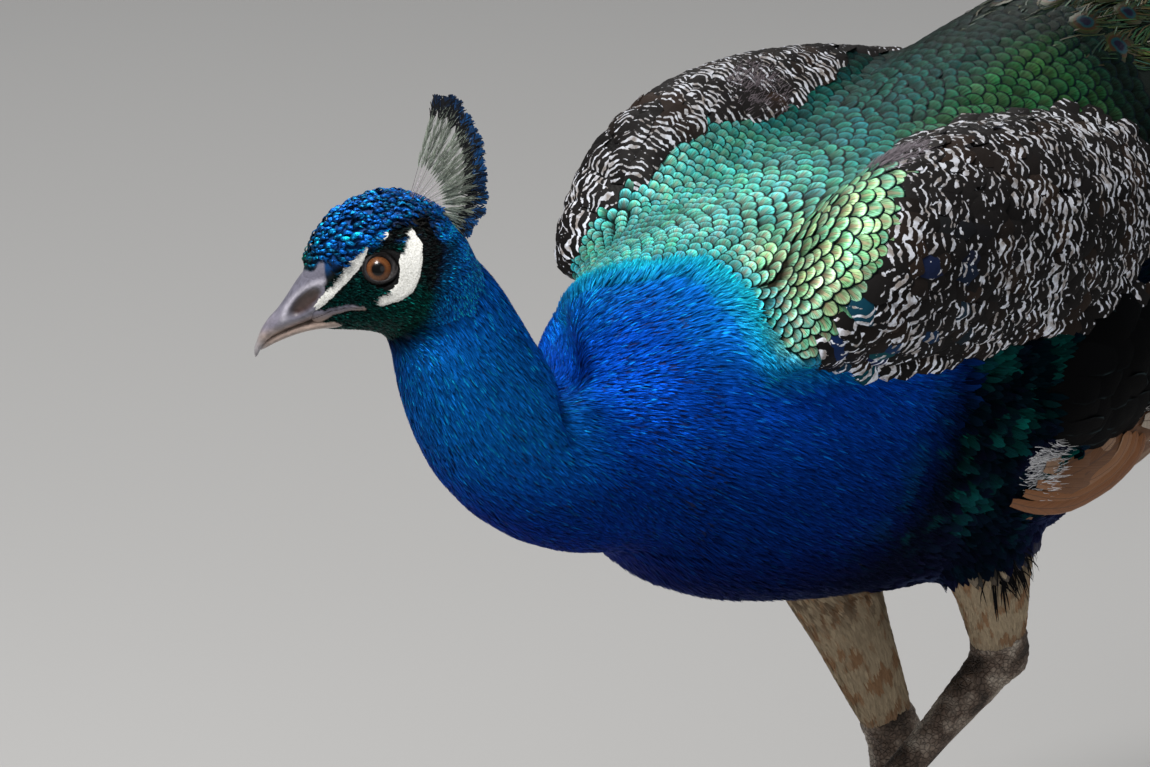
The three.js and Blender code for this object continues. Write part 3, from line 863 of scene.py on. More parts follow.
def billTint(local, upper):
    # grey-lilac horn, tan along the cutting edges, and dark brown painted shade inside the nostril's hollow
    hollow, rim = nostrilShare(local)
    tone = evenTone((0.17, 0.165, 0.215), len(local))
    tone = mix(tone, (0.30, 0.27, 0.33), ramp(-local[:, 0], 46, 60) * 0.5)
    edge = ramp(-local[:, 2], 5.0, 10.0) if upper else np.ones(len(local))
    tone = mix(tone, (0.42, 0.31, 0.24), edge * 0.75)
    tone = mix(tone, (0.34, 0.32, 0.34), ramp(-local[:, 0], 60, 68))
    tone = mix(tone, (0.52, 0.50, 0.58), rim * 0.85)
    # painted shade in the nostril's hollow
    return mix(tone, (0.052, 0.024, 0.016), hollow * 0.94)


# unwrap the skin, and find places on it for the coat
def unwrapSkin(piece):
    for other in bpy.context.view_layer.objects:
        other.select_set(False)
    piece.select_set(True)
    bpy.context.view_layer.objects.active = piece
    layer = piece.data.uv_layers.new(name="OFBake")
    piece.data.uv_layers.active = layer
    bpy.ops.object.mode_set(mode="EDIT")
    bpy.ops.mesh.select_all(action="SELECT")
    bpy.ops.uv.smart_project(angle_limit=radians(66), island_margin=0.002)
    bpy.ops.object.mode_set(mode="OBJECT")


def refineHead(piece):
    # the head's faces are cut finer, for the lids' bed and the marks
    work = bmesh.new()
    work.from_mesh(piece.data)
    near = [edge for edge in work.edges
            if all((vertex.co - Vector(headAt)).length < 0.047 for vertex in edge.verts)]
    bmesh.ops.subdivide_edges(work, edges=near, cuts=2, smooth=0.0, use_grid_fill=True)
    work.to_mesh(piece.data)
    work.free()
    smoothShaded(piece.data)


refineHead(skin)
skinPoints, skinEdges = pointsOf(skin.data), edgesOf(skin.data)
local = toHead(skinPoints)
nearHead = ramp(-np.linalg.norm(local, axis=1), -46, -38)
skinPoints = smoothed(skinPoints, skinEdges, 8, 0.5, nearHead)

# sockets behind the lids, cheeks and the hollow before the eye
local = toHead(skinPoints)
sideOf = np.sign(local[:, 1])
rho = np.hypot(local[:, 0] - eyeSpot["x"] - 1.6, local[:, 2] - eyeSpot["z"] - 1.4)
onSide = ramp(np.abs(local[:, 1]), 5, 10) * nearHead
socket = (1 - ramp(rho, 5.6, 8.4)) * onSide
brow = (1 - ramp(sideGap(local, [(-22, 13), (-8, 19), (6, 20), (16, 18)], (1, 2, 2, 1)), -2, 5)) * onSide
lore = (1 - ramp(sideGap(local, [(-20, 4), (-10, 7)], (2, 3)), -2, 6)) * onSide
cheek = (1 - ramp(sideGap(local, [(-2, -14), (14, -14)], (4, 6)), -4, 8)) * onSide
local[:, 1] += sideOf * (-6.0 * socket + 0.9 * brow - 1.2 * lore + 0.8 * cheek)
whiteHere = (1 - ramp(whiteGap(local), -1.0, 0.8)) * onSide
hollow, rim = nostrilShare(local)
hornHere = (1 - ramp(hornGap(local), -1.0, 1.0)) * ramp(np.abs(local[:, 1]), 1.5, 4)
local[:, 1] += sideOf * (0.45 * whiteHere + hornHere
                         * (0.7 + nostril["rim"] * rim - nostril["depth"] * hollow))
skinPoints = fromHead(local)
setPoints(skin, skinPoints)
unwrapSkin(skin)
print("skin unwrapped")

skinFaces = [list(face.vertices) for face in skin.data.polygons]
skinTree = BVHTree.FromPolygons(skinPoints.tolist(), skinFaces)
skinUps = normalsOf(skin.data)
faceCount = len(skinFaces)
corners = readOut(skin.data.loops, "vertex_index", 1, np.int32)
loopMap = readOut(skin.data.uv_layers["OFBake"].data, "uv", 2)
sides = readOut(skin.data.polygons, "loop_total", 1, np.int32)
areas = readOut(skin.data.polygons, "area", 1)
faceOfLoop = np.repeat(np.arange(faceCount), sides)


def perFace(values):
    # what a face's corners have on average
    return np.stack([np.bincount(faceOfLoop, column, faceCount) / sides for column in values.T], 1)


faceAt = perFace(skinPoints[corners])
faceUp = unit(perFace(skinUps[corners]))
faceMap = perFace(loopMap)
faceOwner = ownersOf(faceAt)
faceLocal = toHead(faceAt)
faceMm = unspot(faceAt)
faceX, faceY, faceZ = faceMm.T
faceIsWing = ownerStarts("wing")[faceOwner]
faceIsThigh = ownerStarts("thigh")[faceOwner]
print("skin ready", faceCount)


def settle(points):
    # nearest places on the skin, with its smooth normal and its face
    found = [skinTree.find_nearest(point) for point in points.tolist()]
    places = np.array([hit[0] for hit in found])
    faces = np.array([hit[2] for hit in found])
    return places, faceUp[faces], faces


def strew(count, weight):
    # random places on the skin, as many as count, denser where weight is more
    chance = areas * weight.astype(float)
    faces = rng.choice(faceCount, size=count, p=chance / chance.sum())
    starts = summed(sides)[faces]
    shares = rng.dirichlet((1, 1, 1, 1), size=count)
    index = np.minimum(np.arange(4)[None], sides[faces][:, None] - 1)
    spots = skinPoints[corners[starts[:, None] + index]]
    return (spots * shares[..., None]).sum(1), faces


def thinned(points, spacing):
    # keeps places that are at least their spacing apart
    tree = nearTree(points)
    alive = np.ones(len(points), bool)
    for index, point in enumerate(points.tolist()):
        if not alive[index]:
            continue
        for _, other, _ in tree.find_range(point, float(spacing[index])):
            if other > index:
                alive[other] = False
    return np.flatnonzero(alive)


def evened(points, spacing, passes=3):
    # pushes neighbours apart, so that they stand as evenly as scales
    for _ in range(passes):
        tree = nearTree(points)
        near = np.array([[hit[1] for hit in tree.find_n(point, 7)][1:] for point in points.tolist()])
        apart = points[:, None, :] - points[near]
        gap = np.linalg.norm(apart, axis=2, keepdims=True)
        push = (apart / np.maximum(gap, 1e-6) * np.maximum(spacing[:, None, None] * 1.12 - gap,
                                                           0)).sum(1) * 0.25
        points = settle(points + push)[0]
    return points


def variety(count, amount):
    # lighter and darker from one to the next
    return np.exp(rng.normal(0, amount, (count, 1)))


def shaded(base, shade):
    # each vane's colour, changed from its root to its tip: most coats use it for painted shade at the root,
    # where vanes overlap, and painted light toward the tip
    return np.clip(base[:, None, :] * np.asarray(shade)[None, :, None], 0, 1)


def walk(roots, ups, lengths, steps=3, turn=0.7, ways=None, sway=0.0, marks=None):
    # centre lines that lie on the skin from each root
    way = lie(roots, ups) if ways is None else ways
    if sway:
        way = way + np.cross(ups, way) * rng.normal(0, sway, (len(roots), 1))
        way = unit(way)
    at = roots
    marks = np.linspace(0, 1, steps + 1) if marks is None else marks
    lines, normals, headings = [at], [ups], [way]
    for part in np.diff(marks):
        at, up, _ = settle(at + way * (lengths * part)[:, None])
        follow = lie(at, up)
        way = way * (1 - turn * 0.5) + follow * turn * 0.5
        way = unit(way - (way * up).sum(1, keepdims=True) * up)
        lines.append(at)
        normals.append(up)
        headings.append(way)
    return np.stack(lines, 1), np.stack(normals, 1), np.stack(headings, 1)


def vanes(lines, ups, ways, widths, outline, rise, camber=0.0, columns=2, roll=None, marks=None):
    # turns centre lines into vanes: (vanes, rows, columns, 3)
    t = np.linspace(0, 1, lines.shape[1]) if marks is None else marks
    side = unit(np.cross(ways, ups))
    if roll is not None:
        side, ups = (
            side * np.cos(roll)[:, None, None] + ups * np.sin(roll)[:, None, None],
            ups * np.cos(roll)[:, None, None] - side * np.sin(roll)[:, None, None],
        )
    u = np.linspace(-1, 1, columns)
    half = outline(t)[None, :, None, None] * np.asarray(widths)[:, None, None, None] / 2
    lift = np.asarray(rise)
    lift = lift[None, :, None, None] if lift.ndim == 1 else lift[:, :, None, None]
    dome = camber * (1 - u**2)[None, None, :, None] * outline(t)[None, :, None, None]
    points = lines[:, :, None, :] + side[:, :, None, :] * u[None, None, :, None] * half
    points = points + ups[:, :, None, :] * (lift + dome)
    return points


def vaneGrid(count, rows, columns):
    a = (np.arange(rows - 1)[:, None] * columns + np.arange(columns - 1)[None]).ravel()
    quad = np.stack([a, a + 1, a + columns + 1, a + columns], 1)
    return (quad[None] + (np.arange(count) * rows * columns)[:, None, None]).reshape(-1, 4)


class Coat:
    # gathers vanes of one kind and makes pieces of them, each within its limit of triangles
    def __init__(self, name, material, slot, limit=190000):
        self.name, self.material, self.slot, self.limit = name, material, slot, limit
        self.parts = []

    def add(self, points, tints, rootMap, outline, marks=None, patch=0.003):
        count, rows, columns = points.shape[:3]
        most = self.limit // ((rows - 1) * (columns - 1) * 2)
        if count > most:
            for start in range(0, count, most):
                some = slice(start, start + most)
                self.add(points[some], tints[some], rootMap[some], outline, marks, patch)
            return
        t = np.linspace(0, 1, rows) if marks is None else marks
        u = np.linspace(-1, 1, columns)
        across = 0.5 + 0.5 * u[None, :] * outline(t)[:, None]
        vaneMapHere = np.stack([across, np.repeat(t[:, None], columns, 1)], 2)
        vaneMapHere = np.repeat(vaneMapHere[None], count, 0)
        bakeMap = np.clip(rootMap, 0.002, 0.998)[:, None, None, :] + (vaneMapHere - 0.5) * patch
        if tints.ndim == 2:
            tints = np.repeat(tints[:, None, :], rows, 1)
        tints = np.repeat(tints[:, :, None, :], columns, 2)
        seeds = np.repeat(rng.random(count), rows * columns)
        self.parts.append((points.reshape(-1, 3), vaneGrid(count, rows, columns), tints.reshape(-1, 3),
                           vaneMapHere.reshape(-1, 2), bakeMap.reshape(-1, 2), seeds))

    def make(self, *stands):
        batches, batch, size = [], [], 0
        for part in self.parts:
            triangles = len(part[1]) * 2
            if batch and size + triangles > self.limit:
                batches.append(batch)
                batch, size = [], 0
            batch.append(part)
            size += triangles
        batches.append(batch)
        for index, batch in enumerate(batches):
            points, _, tints, vaneMaps, bakeMaps, seeds = (np.concatenate(column) for column in zip(*batch))
            starts = summed([len(part[0]) for part in batch])
            faces = np.concatenate([part[1] + start for part, start in zip(batch, starts)])
            label = self.name if len(batches) == 1 else f"{self.name}_{index + 1}"
            piece = makeMesh(label, points, faces)
            pointTint(piece, tints)
            cornerMap(piece, "OFBake", bakeMaps)
            cornerMap(piece, "vane", vaneMaps)
            pointNumber(piece, "odd", seeds)
            finishPiece(piece, self.material, self.slot, *stands)
            print(label, len(points), "points", len(faces) * 2, "triangles")


def tipped(sharp=0.6):
    # narrow hair-like vane, widest early on
    return lambda t: np.maximum(0.12, (1 - t**3) * (0.55 + 0.45 * np.minimum(1, t * 4)) ** sharp)


def rounded(start=0.62):
    # a scale: nearly parallel sides, then a round end
    def shape(t):
        end = np.clip((t - start) / (1 - start), 0, 1)
        return (0.72 + 0.28 * np.minimum(1, t / start)) * np.sqrt(np.maximum(1 - end**2, 0.02))
    return shape


def hairs(coat, weight, count, length, width, steps=3, rise=(0.0, 0.6, 1.0, 1.3), shade=(0.5, 0.9, 1.15, 1.3),
          uneven=0.22, sway=0.12, hue=None, rollBy=0.35, outline=tipped(), glints=0.0,
          glintBy=(1.6, 2.3, 1.35)):
    # many short vanes at random places, denser where the weight is more
    roots, faces = strew(count, weight)
    lengths = length / 1000 * rng.uniform(0.75, 1.25, count)
    lines, ups, ways = walk(roots, faceUp[faces], lengths, steps, sway=sway)
    raised = np.asarray(rise)[None] / 1000 * rng.uniform(0.6, 1.5, (count, 1))
    widths = width / 1000 * rng.uniform(0.7, 1.3, count)
    points = vanes(lines, ups, ways, widths, outline, raised, 0.0, 2, roll=rng.normal(0, rollBy, count))
    if hue is None:
        base = plumage(roots, faceIsWing[faces].astype(float), faceIsThigh[faces].astype(float))
    else:
        base = hue(roots)
    base = base * variety(count, uneven)
    glinting = rng.random(count) < glints
    base = base * np.where(glinting[:, None], glintBy, (1.0, 1.0, 1.0))
    # shade darkens each vane at its root and lightens its tip: painted shade and painted light
    coat.add(points, shaded(base, shade), faceMap[faces], outline)


# how much of each kind of cover a face of the skin carries
faceCrown = np.interp(faceLocal[:, 0], [-34, -24, -17, -10, -5, 0, 8, 20, 32],
                      [3.6, 6.4, 10.8, 14.6, 17.8, 20.3, 22.5, 20, 11])
headSkin = (np.linalg.norm(faceLocal, axis=1) < 46) & (faceOwner == 0)
crownFaces = headSkin & (faceLocal[:, 2] > faceCrown) & (faceLocal[:, 0] < 33)
sideFaces = np.abs(faceLocal[:, 1]) > 6
bareFaces = headSkin & sideFaces & ((whiteGap(faceLocal) < 0.25) | ((blackGap(faceLocal) < 0) & ~crownFaces))
bareFaces = bareFaces | (headSkin & (hornGap(faceLocal) < 0.3))
behindFront = mantleGap(faceMm)
barredFaces = faceIsWing & (wingMask(faceMm) > 0)
mantleLow = np.interp(faceX, [-150, -110, 60, 330], [418, 422, 440, 470])
mantleFaces = (behindFront > 0) & (faceZ > mantleLow) & ~headSkin & ~barredFaces
thighZone = faceIsThigh & (faceZ < thighTop(faceMm))
blueFaces = ~mantleFaces & ~barredFaces & ~thighZone & ~bareFaces & ~crownFaces & ~(faceIsWing & (faceX > 0))

plumeBlue = featherMaterial("plumeBlue", Metallic=0.6, Roughness=0.42, Specular_Tint=(0.12, 0.35, 1.0))
plumeFace = featherMaterial("plumeFace", Metallic=0.5, Roughness=0.38)

neckZone = blueFaces & (faceX < -150) & (faceZ > 320) & ~headSkin
neckCoat = Coat("coat_neck", plumeBlue, "neck_feather")
neckWeight = neckZone * (1 + 0.5 * (faceLocal[:, 0] < 75))
hairs(neckCoat, neckWeight, count=46000, length=5.0, width=0.72, rise=(0.1, 0.5, 0.7, 0.8), uneven=0.26,
      glints=0.08, rollBy=0.25)
breastZone = blueFaces & ~neckZone & ~headSkin & (faceX < 60)
bodyCoat = Coat("coat_breast", plumeBlue, "neck_feather")
hairs(bodyCoat, breastZone, count=27000, length=8.4, width=1.25, rise=(0.2, 0.8, 1.2, 1.4), uneven=0.22,
      glints=0.05, rollBy=0.25)
overCoat = Coat("coat_breast_top", plumeBlue, "neck_feather")
hairs(overCoat, breastZone * (1 + (faceZ > 340)), count=33000, length=7.0, width=0.82,
      rise=(0.3, 1.0, 1.4, 1.7), uneven=0.28, glints=0.07, rollBy=0.25)
rearZone = blueFaces & ~neckZone & ~headSkin & ~breastZone
hairs(bodyCoat, rearZone, count=9000, length=15, width=3.4, rise=(0.2, 1.1, 1.9, 2.4))
# broader feathers with a green gloss low on the flanks
flankZone = breastZone & (faceX > -62) & (faceZ < 400)
hairs(bodyCoat, flankZone * ramp(faceX, -36, 0), count=3200, length=13, width=4.2, steps=4,
      rise=(0.4, 1.5, 2.1, 2.4, 2.4),
      shade=(0.3, 0.6, 0.9, 1.2, 1.5), uneven=0.5, outline=rounded(0.5), rollBy=0.2)
# the last blue strands lie over the first scales
lastStrands = (behindFront > -7) & (behindFront < 3) & (faceZ > 412) & ~headSkin & ~barredFaces
hairs(bodyCoat, lastStrands, count=5200, length=7.5, width=0.95, rise=(0.3, 1.6, 2.5, 3.0), uneven=0.3)
faceCoat = Coat("coat_face", plumeFace, "head_feather")
faceZone = headSkin & ~crownFaces & ~bareFaces
hairs(faceCoat, faceZone, count=22000, length=2.5, width=0.7, steps=2, rise=(0.1, 0.5, 0.8),
      shade=(0.3, 0.9, 2.0), uneven=0.6, glints=0.3, glintBy=(1.5, 3.6, 3.2))
print("fine feathers laid")

# crown: small curled feathers like beads
beads = {"tries": 9000, "spacing": 1.7, "length": 5.0, "width": 1.6, "hornRoom": 1.6, "whiteRoom": 2.2}
roots, faces = strew(beads["tries"], crownFaces & ~bareFaces)
rootLocal = toHead(roots)
beadSize = np.interp(rootLocal[:, 0], [-34, -15, 12, 30], [0.8, 1.1, 1.0, 0.75])
kept = thinned(roots, beads["spacing"] / 1000 * beadSize)
kept = kept[hornGap(rootLocal[kept]) > beads["hornRoom"]]
kept = kept[whiteGap(rootLocal[kept]) > beads["whiteRoom"]]
roots, faces, beadSize = roots[kept], faces[kept], beadSize[kept]
count = len(roots)
beadSize = beadSize * rng.uniform(0.8, 1.25, count)
beadLength = beads["length"] / 1000 * beadSize * rng.uniform(0.85, 1.2, count)
lines, ups, ways = walk(roots, faceUp[faces], beadLength, 5, sway=1.0)
beadRise = np.array([0.2, 1.0, 1.6, 1.8, 1.4, 0.4])[None] / 1000 * beadSize[:, None]
beadShape = rounded(0.4)
points = vanes(lines, ups, ways, beads["width"] / 1000 * beadSize, beadShape, beadRise, 0.0006, 4,
               roll=rng.normal(0, 0.65, count))
base = plumage(roots) * variety(count, 0.5)
base = base * mix(np.ones((count, 1)), np.array([(1.0, 1.9, 1.1)]), (rng.random(count) < 0.35) * 1.0)
# painted shade at each bead's root and a painted highlight on its dome
tints = shaded(base, (0.02, 0.07, 0.26, 0.75, 1.2, 0.5))
beadMade = fleckedMaterial(
    "beadBlue", 1300.0, [(0.35, 0.35), (0.65, 1.6)], (0.5, 0.0004), Metallic=0.6, Roughness=0.46,
    Specular_IOR_Level=0.15)
crownCoat = Coat("coat_crown", beadMade, "head_feather")
crownCoat.add(points, tints, faceMap[faces], beadShape)
print("crown laid", count)

# mantle and back: rows of scales that move on from the front edge, as the feathers lie
scales = {
    "front": [(-168, 50, 432), (-161, 23, 439), (-150, -3, 449), (-133, -20, 452), (-128, -46, 441),
              (-130, -70, 432), (-124, -92, 424), (-118, -100, 408)],
    "reach": (-10, 0, 22, 55, 110, 190), "width": (4.6, 5.2, 7.8, 10.0, 9.8, 9.0), "rowShare": 0.60,
    "pack": 0.88, "last": 112, "points": 110,
}


def scaleWidth(places):
    mm = unspot(places)
    wide = np.interp(mantleGap(mm), scales["reach"], scales["width"])
    wide = wide * (1 - 0.36 * ramp(mm[:, 1], -15, 45) * (1 - ramp(mm[:, 0], -40, 20)))
    return wide * (1 - 0.35 * ramp(-mm[:, 1], 72, 90)) / 1000


def resampled(line, count):
    run = runOf(line)
    return alongLine(np.linspace(0, run[-1], count), run, line)


line = resampled(np.array([spot(*corner) for corner in scales["front"]]), scales["points"])
line, lineUps, _ = settle(line)
line = line - lie(line, lineUps) * 0.006
scaleRoots = []
for rowIndex in range(90):
    line, lineUps, _ = settle(line)
    wideHere = scaleWidth(line)
    span = summed(np.linalg.norm(np.diff(line, axis=0), axis=1) / wideHere[:-1] / scales["pack"])
    marks = np.arange(0.5 * (rowIndex % 2), span[-1], 1.0)
    scaleRoots.append(alongLine(marks, span, line))
    line = line + lie(line, lineUps) * (wideHere * scales["rowShare"])[:, None]
    for _ in range(2):
        line[1:-1] = (line[:-2] + 2 * line[1:-1] + line[2:]) / 4
    line = resampled(line, scales["points"])
    if unspot(line)[:, 0].min() > scales["last"]:
        break
roots, ups0, faces = settle(np.concatenate(scaleRoots))
onMantle = mantleFaces[faces] & (unspot(roots)[:, 0] < scales["last"])
roots, ups0, faces = roots[onMantle], ups0[onMantle], faces[onMantle]
kept = thinned(roots, scaleWidth(roots) * 0.5)
roots = evened(roots[kept], scaleWidth(roots[kept]) * 0.80, 7)
roots, ups0, faces = settle(roots)
count = len(roots)
wide = scaleWidth(roots) * rng.uniform(0.98, 1.14, count) * 1.16
rootMm = unspot(roots)
long = wide * (1.35 + 0.9 * ramp(-rootMm[:, 1], 74, 90) * (1 - ramp(rootMm[:, 0], -110, -90)))
scaleWays = lie(roots, ups0)
scaleMarks = np.array([0, 0.35, 0.62, 0.76, 0.87, 0.95, 1.0])
scaleShape = rounded(0.64)
lines, ups, ways = walk(roots, ups0, long, marks=scaleMarks, sway=0.05)
scaleRise = np.array([0.0, 0.9, 1.5, 1.8, 2.0, 2.1, 2.1]) / 1000
points = vanes(lines, ups, ways, wide, scaleShape, scaleRise, 0.0006, 7, roll=rng.normal(0, 0.06, count),
               marks=scaleMarks)
base = plumage(roots + scaleWays * long[:, None] * 0.5) * variety(count, 0.2)
base = base * rng.uniform((0.7, 0.92, 0.78), (1.4, 1.1, 1.08), (count, 3))

scaleMade = material("scaleGreen", Metallic=0.45, Roughness=0.46, Specular_IOR_Level=0.08)
tint = attribute("tint", "Color")
odd = attribute("odd")
across, along = vaneMap()
roundness = roundEnd(across, along, 2.778)
heading = mathNode("ARCTAN2", across, mathNode("ADD", along, -0.25))
rays = combineNode(mathNode("MULTIPLY", heading, 12.0), mathNode("MULTIPLY", along, 2.0),
                   mathNode("MULTIPLY", odd, 50.0))
rayNoise = noiseNode(1.0, 2.0, rays)
body = timesNode(tint, rampNode(rayNoise, [(0.32, 0.25), (0.68, 1.45)]))
streakWide = mathNode("MULTIPLY_ADD", along, -0.55, 0.36)
streakWide = mathNode("MULTIPLY_ADD", rayNoise, 0.5, streakWide)
streakGap = mathNode("SUBTRACT", streakWide, mathNode("ABSOLUTE", across))
streak = rampNode(streakGap, [(0.0, 0.0), (0.12, 1.0)])
split = node("SeparateColor")
links.new(tint, split.inputs["Color"])
copperLight = mathNode("MULTIPLY", split.outputs["Green"], 2.0)
copper = node("VectorMath", operation="SCALE")
copper.inputs[0].default_value = (0.40, 0.24, 0.16)
links.new(copperLight, copper.inputs["Scale"])
warmth = rampNode(split.outputs["Red"], [(0.02, 0.12), (0.2, 0.6)])
coppered = mixNode(mathNode("MULTIPLY", streak, warmth), body, copper.outputs["Vector"])
# edgeGlow: a painted highlight in a band just inside each scale's black edge
edgeGlow = rampNode(roundness, [(0.5, 0.0), (0.70, 0.35), (0.78, 0.0)])
glowing = mixNode(edgeGlow, coppered, timesNode(tint, (1.5, 1.7, 2.2)))
edged = mixNode(rampNode(roundness, [(0.79, 0.0), (0.86, 1.0)]), glowing, (0.001, 0.006, 0.008))
# painted shade: each scale dark at its root under the one before, lighter to its tip
paint(timesNode(edged, rampNode(along, [(0.36, 0.05), (0.62, 0.55), (0.84, 1.15)])))
bumpNode(rayNoise, 0.4, 0.0005)
backCoat = Coat("coat_back", scaleMade, "back_feather")
backCoat.add(points, np.clip(base, 0, 1), faceMap[faces], scaleShape, marks=scaleMarks)
print("mantle laid", count)

# barred coverts of both wings
coverts = {"spacing": 6.4, "length": 20, "width": 13}
wingLow = np.interp(faceX, [-110, -60, 3, 26, 40, 60, 100, 330], [415, 400, 386, 394, 408, 404, 398, 430])
lift = np.where(faceY > 0, 9, 0)
barredZone = barredFaces & (faceZ - lift > wingLow)
darkZone = faceIsWing & ~barredZone & (faceX > -12) & ~mantleFaces & (
    faceZ - lift > np.interp(faceX, [0, 60, 110, 200, 420], [330, 338, 345, 372, 420]))


def scaleCoat(coat, zone, count, spacing, length, width, steps, columns, rise, tintOf, shade, uneven=0.15,
              sway=0.08, camber=1.2, shape=None, rollBy=0.08):
    shape = shape or rounded(0.6)
    roots, faces = strew(count, zone)
    roots = roots[thinned(roots, np.full(len(roots), spacing / 1000))]
    roots = evened(roots, np.full(len(roots), spacing / 1000), 3)
    roots, ups0, faces = settle(roots)
    count = len(roots)
    lengths = length / 1000 * rng.uniform(0.88, 1.12, count)
    lines, ups, ways = walk(roots, ups0, lengths, steps, sway=sway)
    points = vanes(lines, ups, ways, width / 1000 * rng.uniform(0.9, 1.1, count), shape,
                   np.asarray(rise) / 1000, camber / 1000, columns, roll=rng.normal(0, rollBy, count))
    base = tintOf(roots, faces) * variety(count, uneven)
    coat.add(points, shaded(base, shade), faceMap[faces], shape)
    return count


bars = {"perVane": 26.0, "moreFarSide": 11.0, "curve": 3.4, "wander": 15.0, "fray": 2.6, "thin": -1.85}
barMade = material("barredVane", Roughness=0.6, Specular_IOR_Level=0.1)
across, along = vaneMap()
phase = mathNode("MULTIPLY_ADD", noiseNode(95.0, 2.0), bars["wander"],
                 mathNode("MULTIPLY", attribute("odd"), 6.283))
# the far wing has finer and thinner bars
where = node("SeparateXYZ")
links.new(objectPlace(), where.inputs["Vector"])
farSide = mathNode("GREATER_THAN", where.outputs["Y"], 0.0)
wave = mathNode("MULTIPLY_ADD", along, mathNode("MULTIPLY_ADD", farSide, bars["moreFarSide"],
                                                bars["perVane"]), phase)
bend = mathNode("MULTIPLY_ADD", mathNode("ABSOLUTE", across), bars["curve"], wave)
fray = noiseNode(520.0, 2.0)
barsFrayed = mathNode("MULTIPLY_ADD", fray, bars["fray"],
                      mathNode("ADD", mathNode("SINE", bend), bars["thin"]))
broken = mathNode("MULTIPLY_ADD", noiseNode(150.0, 2.0), 4.2, -2.1)
held = mathNode("MULTIPLY_ADD", noiseNode(45.0, 2.0), 4.0, -2.0)
held = mathNode("ADD", held, broken)
# painted shade: fewer pale bars on the far wing
held = mathNode("ADD", held, mathNode("MULTIPLY", farSide, -0.16))
barMask = rampNode(mathNode("ADD", barsFrayed, held), [(0.10, 0.0), (0.26, 1.0)])
lowBright = rampNode(where.outputs["Z"], [(0.39, 2.0), (0.44, 1.5), (0.49, 0.95)])
pale = rampNode(noiseNode(240.0, 2.0), [(0.35, (0.20, 0.18, 0.17)), (0.6, (0.52, 0.54, 0.60))])
paint(mixNode(barMask, attribute("tint", "Color"), timesNode(pale, lowBright)))
bumpNode(fray, 0.3, 0.0006)


def covertTint(places, faces):
    # black, with a few painted teal and blue glints low in front, and brown on top
    mm = unspot(places)
    base = evenTone(hues["barred"], len(mm))
    base = mix(base, (0.022, 0.013, 0.009), ramp(ripple(places, 0.03, 21), 0.1, 0.7) * 0.8)
    front = (1 - ramp(mm[:, 0], -75, -30)) * (1 - ramp(mm[:, 2], 440, 478)) * (mm[:, 1] < 0)
    glint = front * (rng.random(len(mm)) < 0.2)
    return mix(base, mix((0.0, 0.06, 0.075), (0.005, 0.018, 0.10), rng.random(len(mm))), glint * 0.9)


wingCoat = Coat("coat_coverts", barMade, "wing_barred")
made = scaleCoat(wingCoat, barredZone, 26000, coverts["spacing"], coverts["length"], coverts["width"], 4, 4,
                 (0.0, 1.2, 2.2, 2.9, 3.1), covertTint, (0.6, 0.9, 1.0, 1.1, 1.1), sway=0.14)
print("coverts laid", made)

darkMade = material("darkVane", Roughness=0.55, Specular_IOR_Level=0.03)
rim = rampNode(roundEnd(*vaneMap(), 2.5), [(0.88, 0.0), (0.96, 0.8)])
rimHere = mathNode("MULTIPLY", rim, rampNode(noiseNode(70.0, 1.0), [(0.45, 0.1), (0.65, 1.0)]))
paint(mixNode(rimHere, attribute("tint", "Color"), (0.03, 0.05, 0.055)))
bumpNode(noiseNode(900.0, 2.0), 0.25, 0.0004)
darkCoat = Coat("coat_secondaries", darkMade, "wing_dark")
made = scaleCoat(darkCoat, darkZone, 9000, 11, 34, 22, 5, 5, (0.0, 1.2, 2.2, 2.9, 3.2, 3.2),
                 lambda places, faces: evenTone(hues["dark"], len(places)), (0.7, 0.9, 1.0, 1.1, 1.1, 1.2))
print("secondaries laid", made)

neckCoat.make("neck_upper", "neck_lower")
bodyCoat.make("breast", "trunk")
overCoat.make()
faceCoat.make()
crownCoat.make()
backCoat.make("rump")
wingCoat.make(*[name for name in wingNodes if "coverts" in name])
darkCoat.make(*[name for name in wingNodes if "secondaries" in name])

# the skin's finish follows the plumage, darkened under the coat as painted shade, with bare horn at the root
# of the bill
skinFaceOf = settle(skinPoints)[2]
local = toHead(skinPoints)
inHead = np.linalg.norm(local, axis=1) < 48
isThigh = faceIsThigh[skinFaceOf].astype(float)
# painted shade: the skin under the coat at 0.4 of the plumage, lighter under the thighs
shadedUnderCoat = plumage(skinPoints, faceIsWing[skinFaceOf].astype(float),
                    isThigh) * (0.4 + 0.45 * isThigh[:, None])
horn = (1 - ramp(hornGap(local), -0.2, 0.8)) * inHead
pointTint(skin, mix(shadedUnderCoat, billTint(local, True), horn))
onSides = inHead & (np.abs(local[:, 1]) > 6)
pointNumber(skin, "white", np.where(onSides, whiteGap(local), 9.0))
pointNumber(skin, "black", np.where(onSides, blackGap(local), 9.0))
pointNumber(skin, "mouth", np.where(inHead, sideGap(local, mouthLine, np.zeros(len(mouthLine))), 9.0))
skinMade = material("skinAndDown", Roughness=0.6, Specular_IOR_Level=0.2)
ragged = noiseNode(700.0, 3.0)
uneven = mathNode("MULTIPLY_ADD", ragged, 1.8, -0.9)
blackEdge = rampNode(mathNode("ADD", attribute("black"), uneven), [(0.0, 1.0), (0.6, 0.0)])
whiteEdge = rampNode(mathNode("ADD", attribute("white"), uneven), [(0.0, 1.0), (0.2, 0.0)])
lipDark = rampNode(attribute("mouth"), [(0.12, 0.85), (0.45, 0.0)])
lipped = mixNode(lipDark, attribute("tint", "Color"), (0.03, 0.02, 0.018))
darkened = mixNode(blackEdge, lipped, hues["bare"])
chalk = rampNode(noiseNode(1500.0, 2.0), [(0.3, (0.60, 0.60, 0.55)), (0.6, (0.90, 0.90, 0.87))])
paint(mixNode(whiteEdge, darkened, chalk))
bumpNode(ragged, 0.6, 0.0007)
finishPiece(skin, skinMade, None, *ownerNames)
print("skin finished")


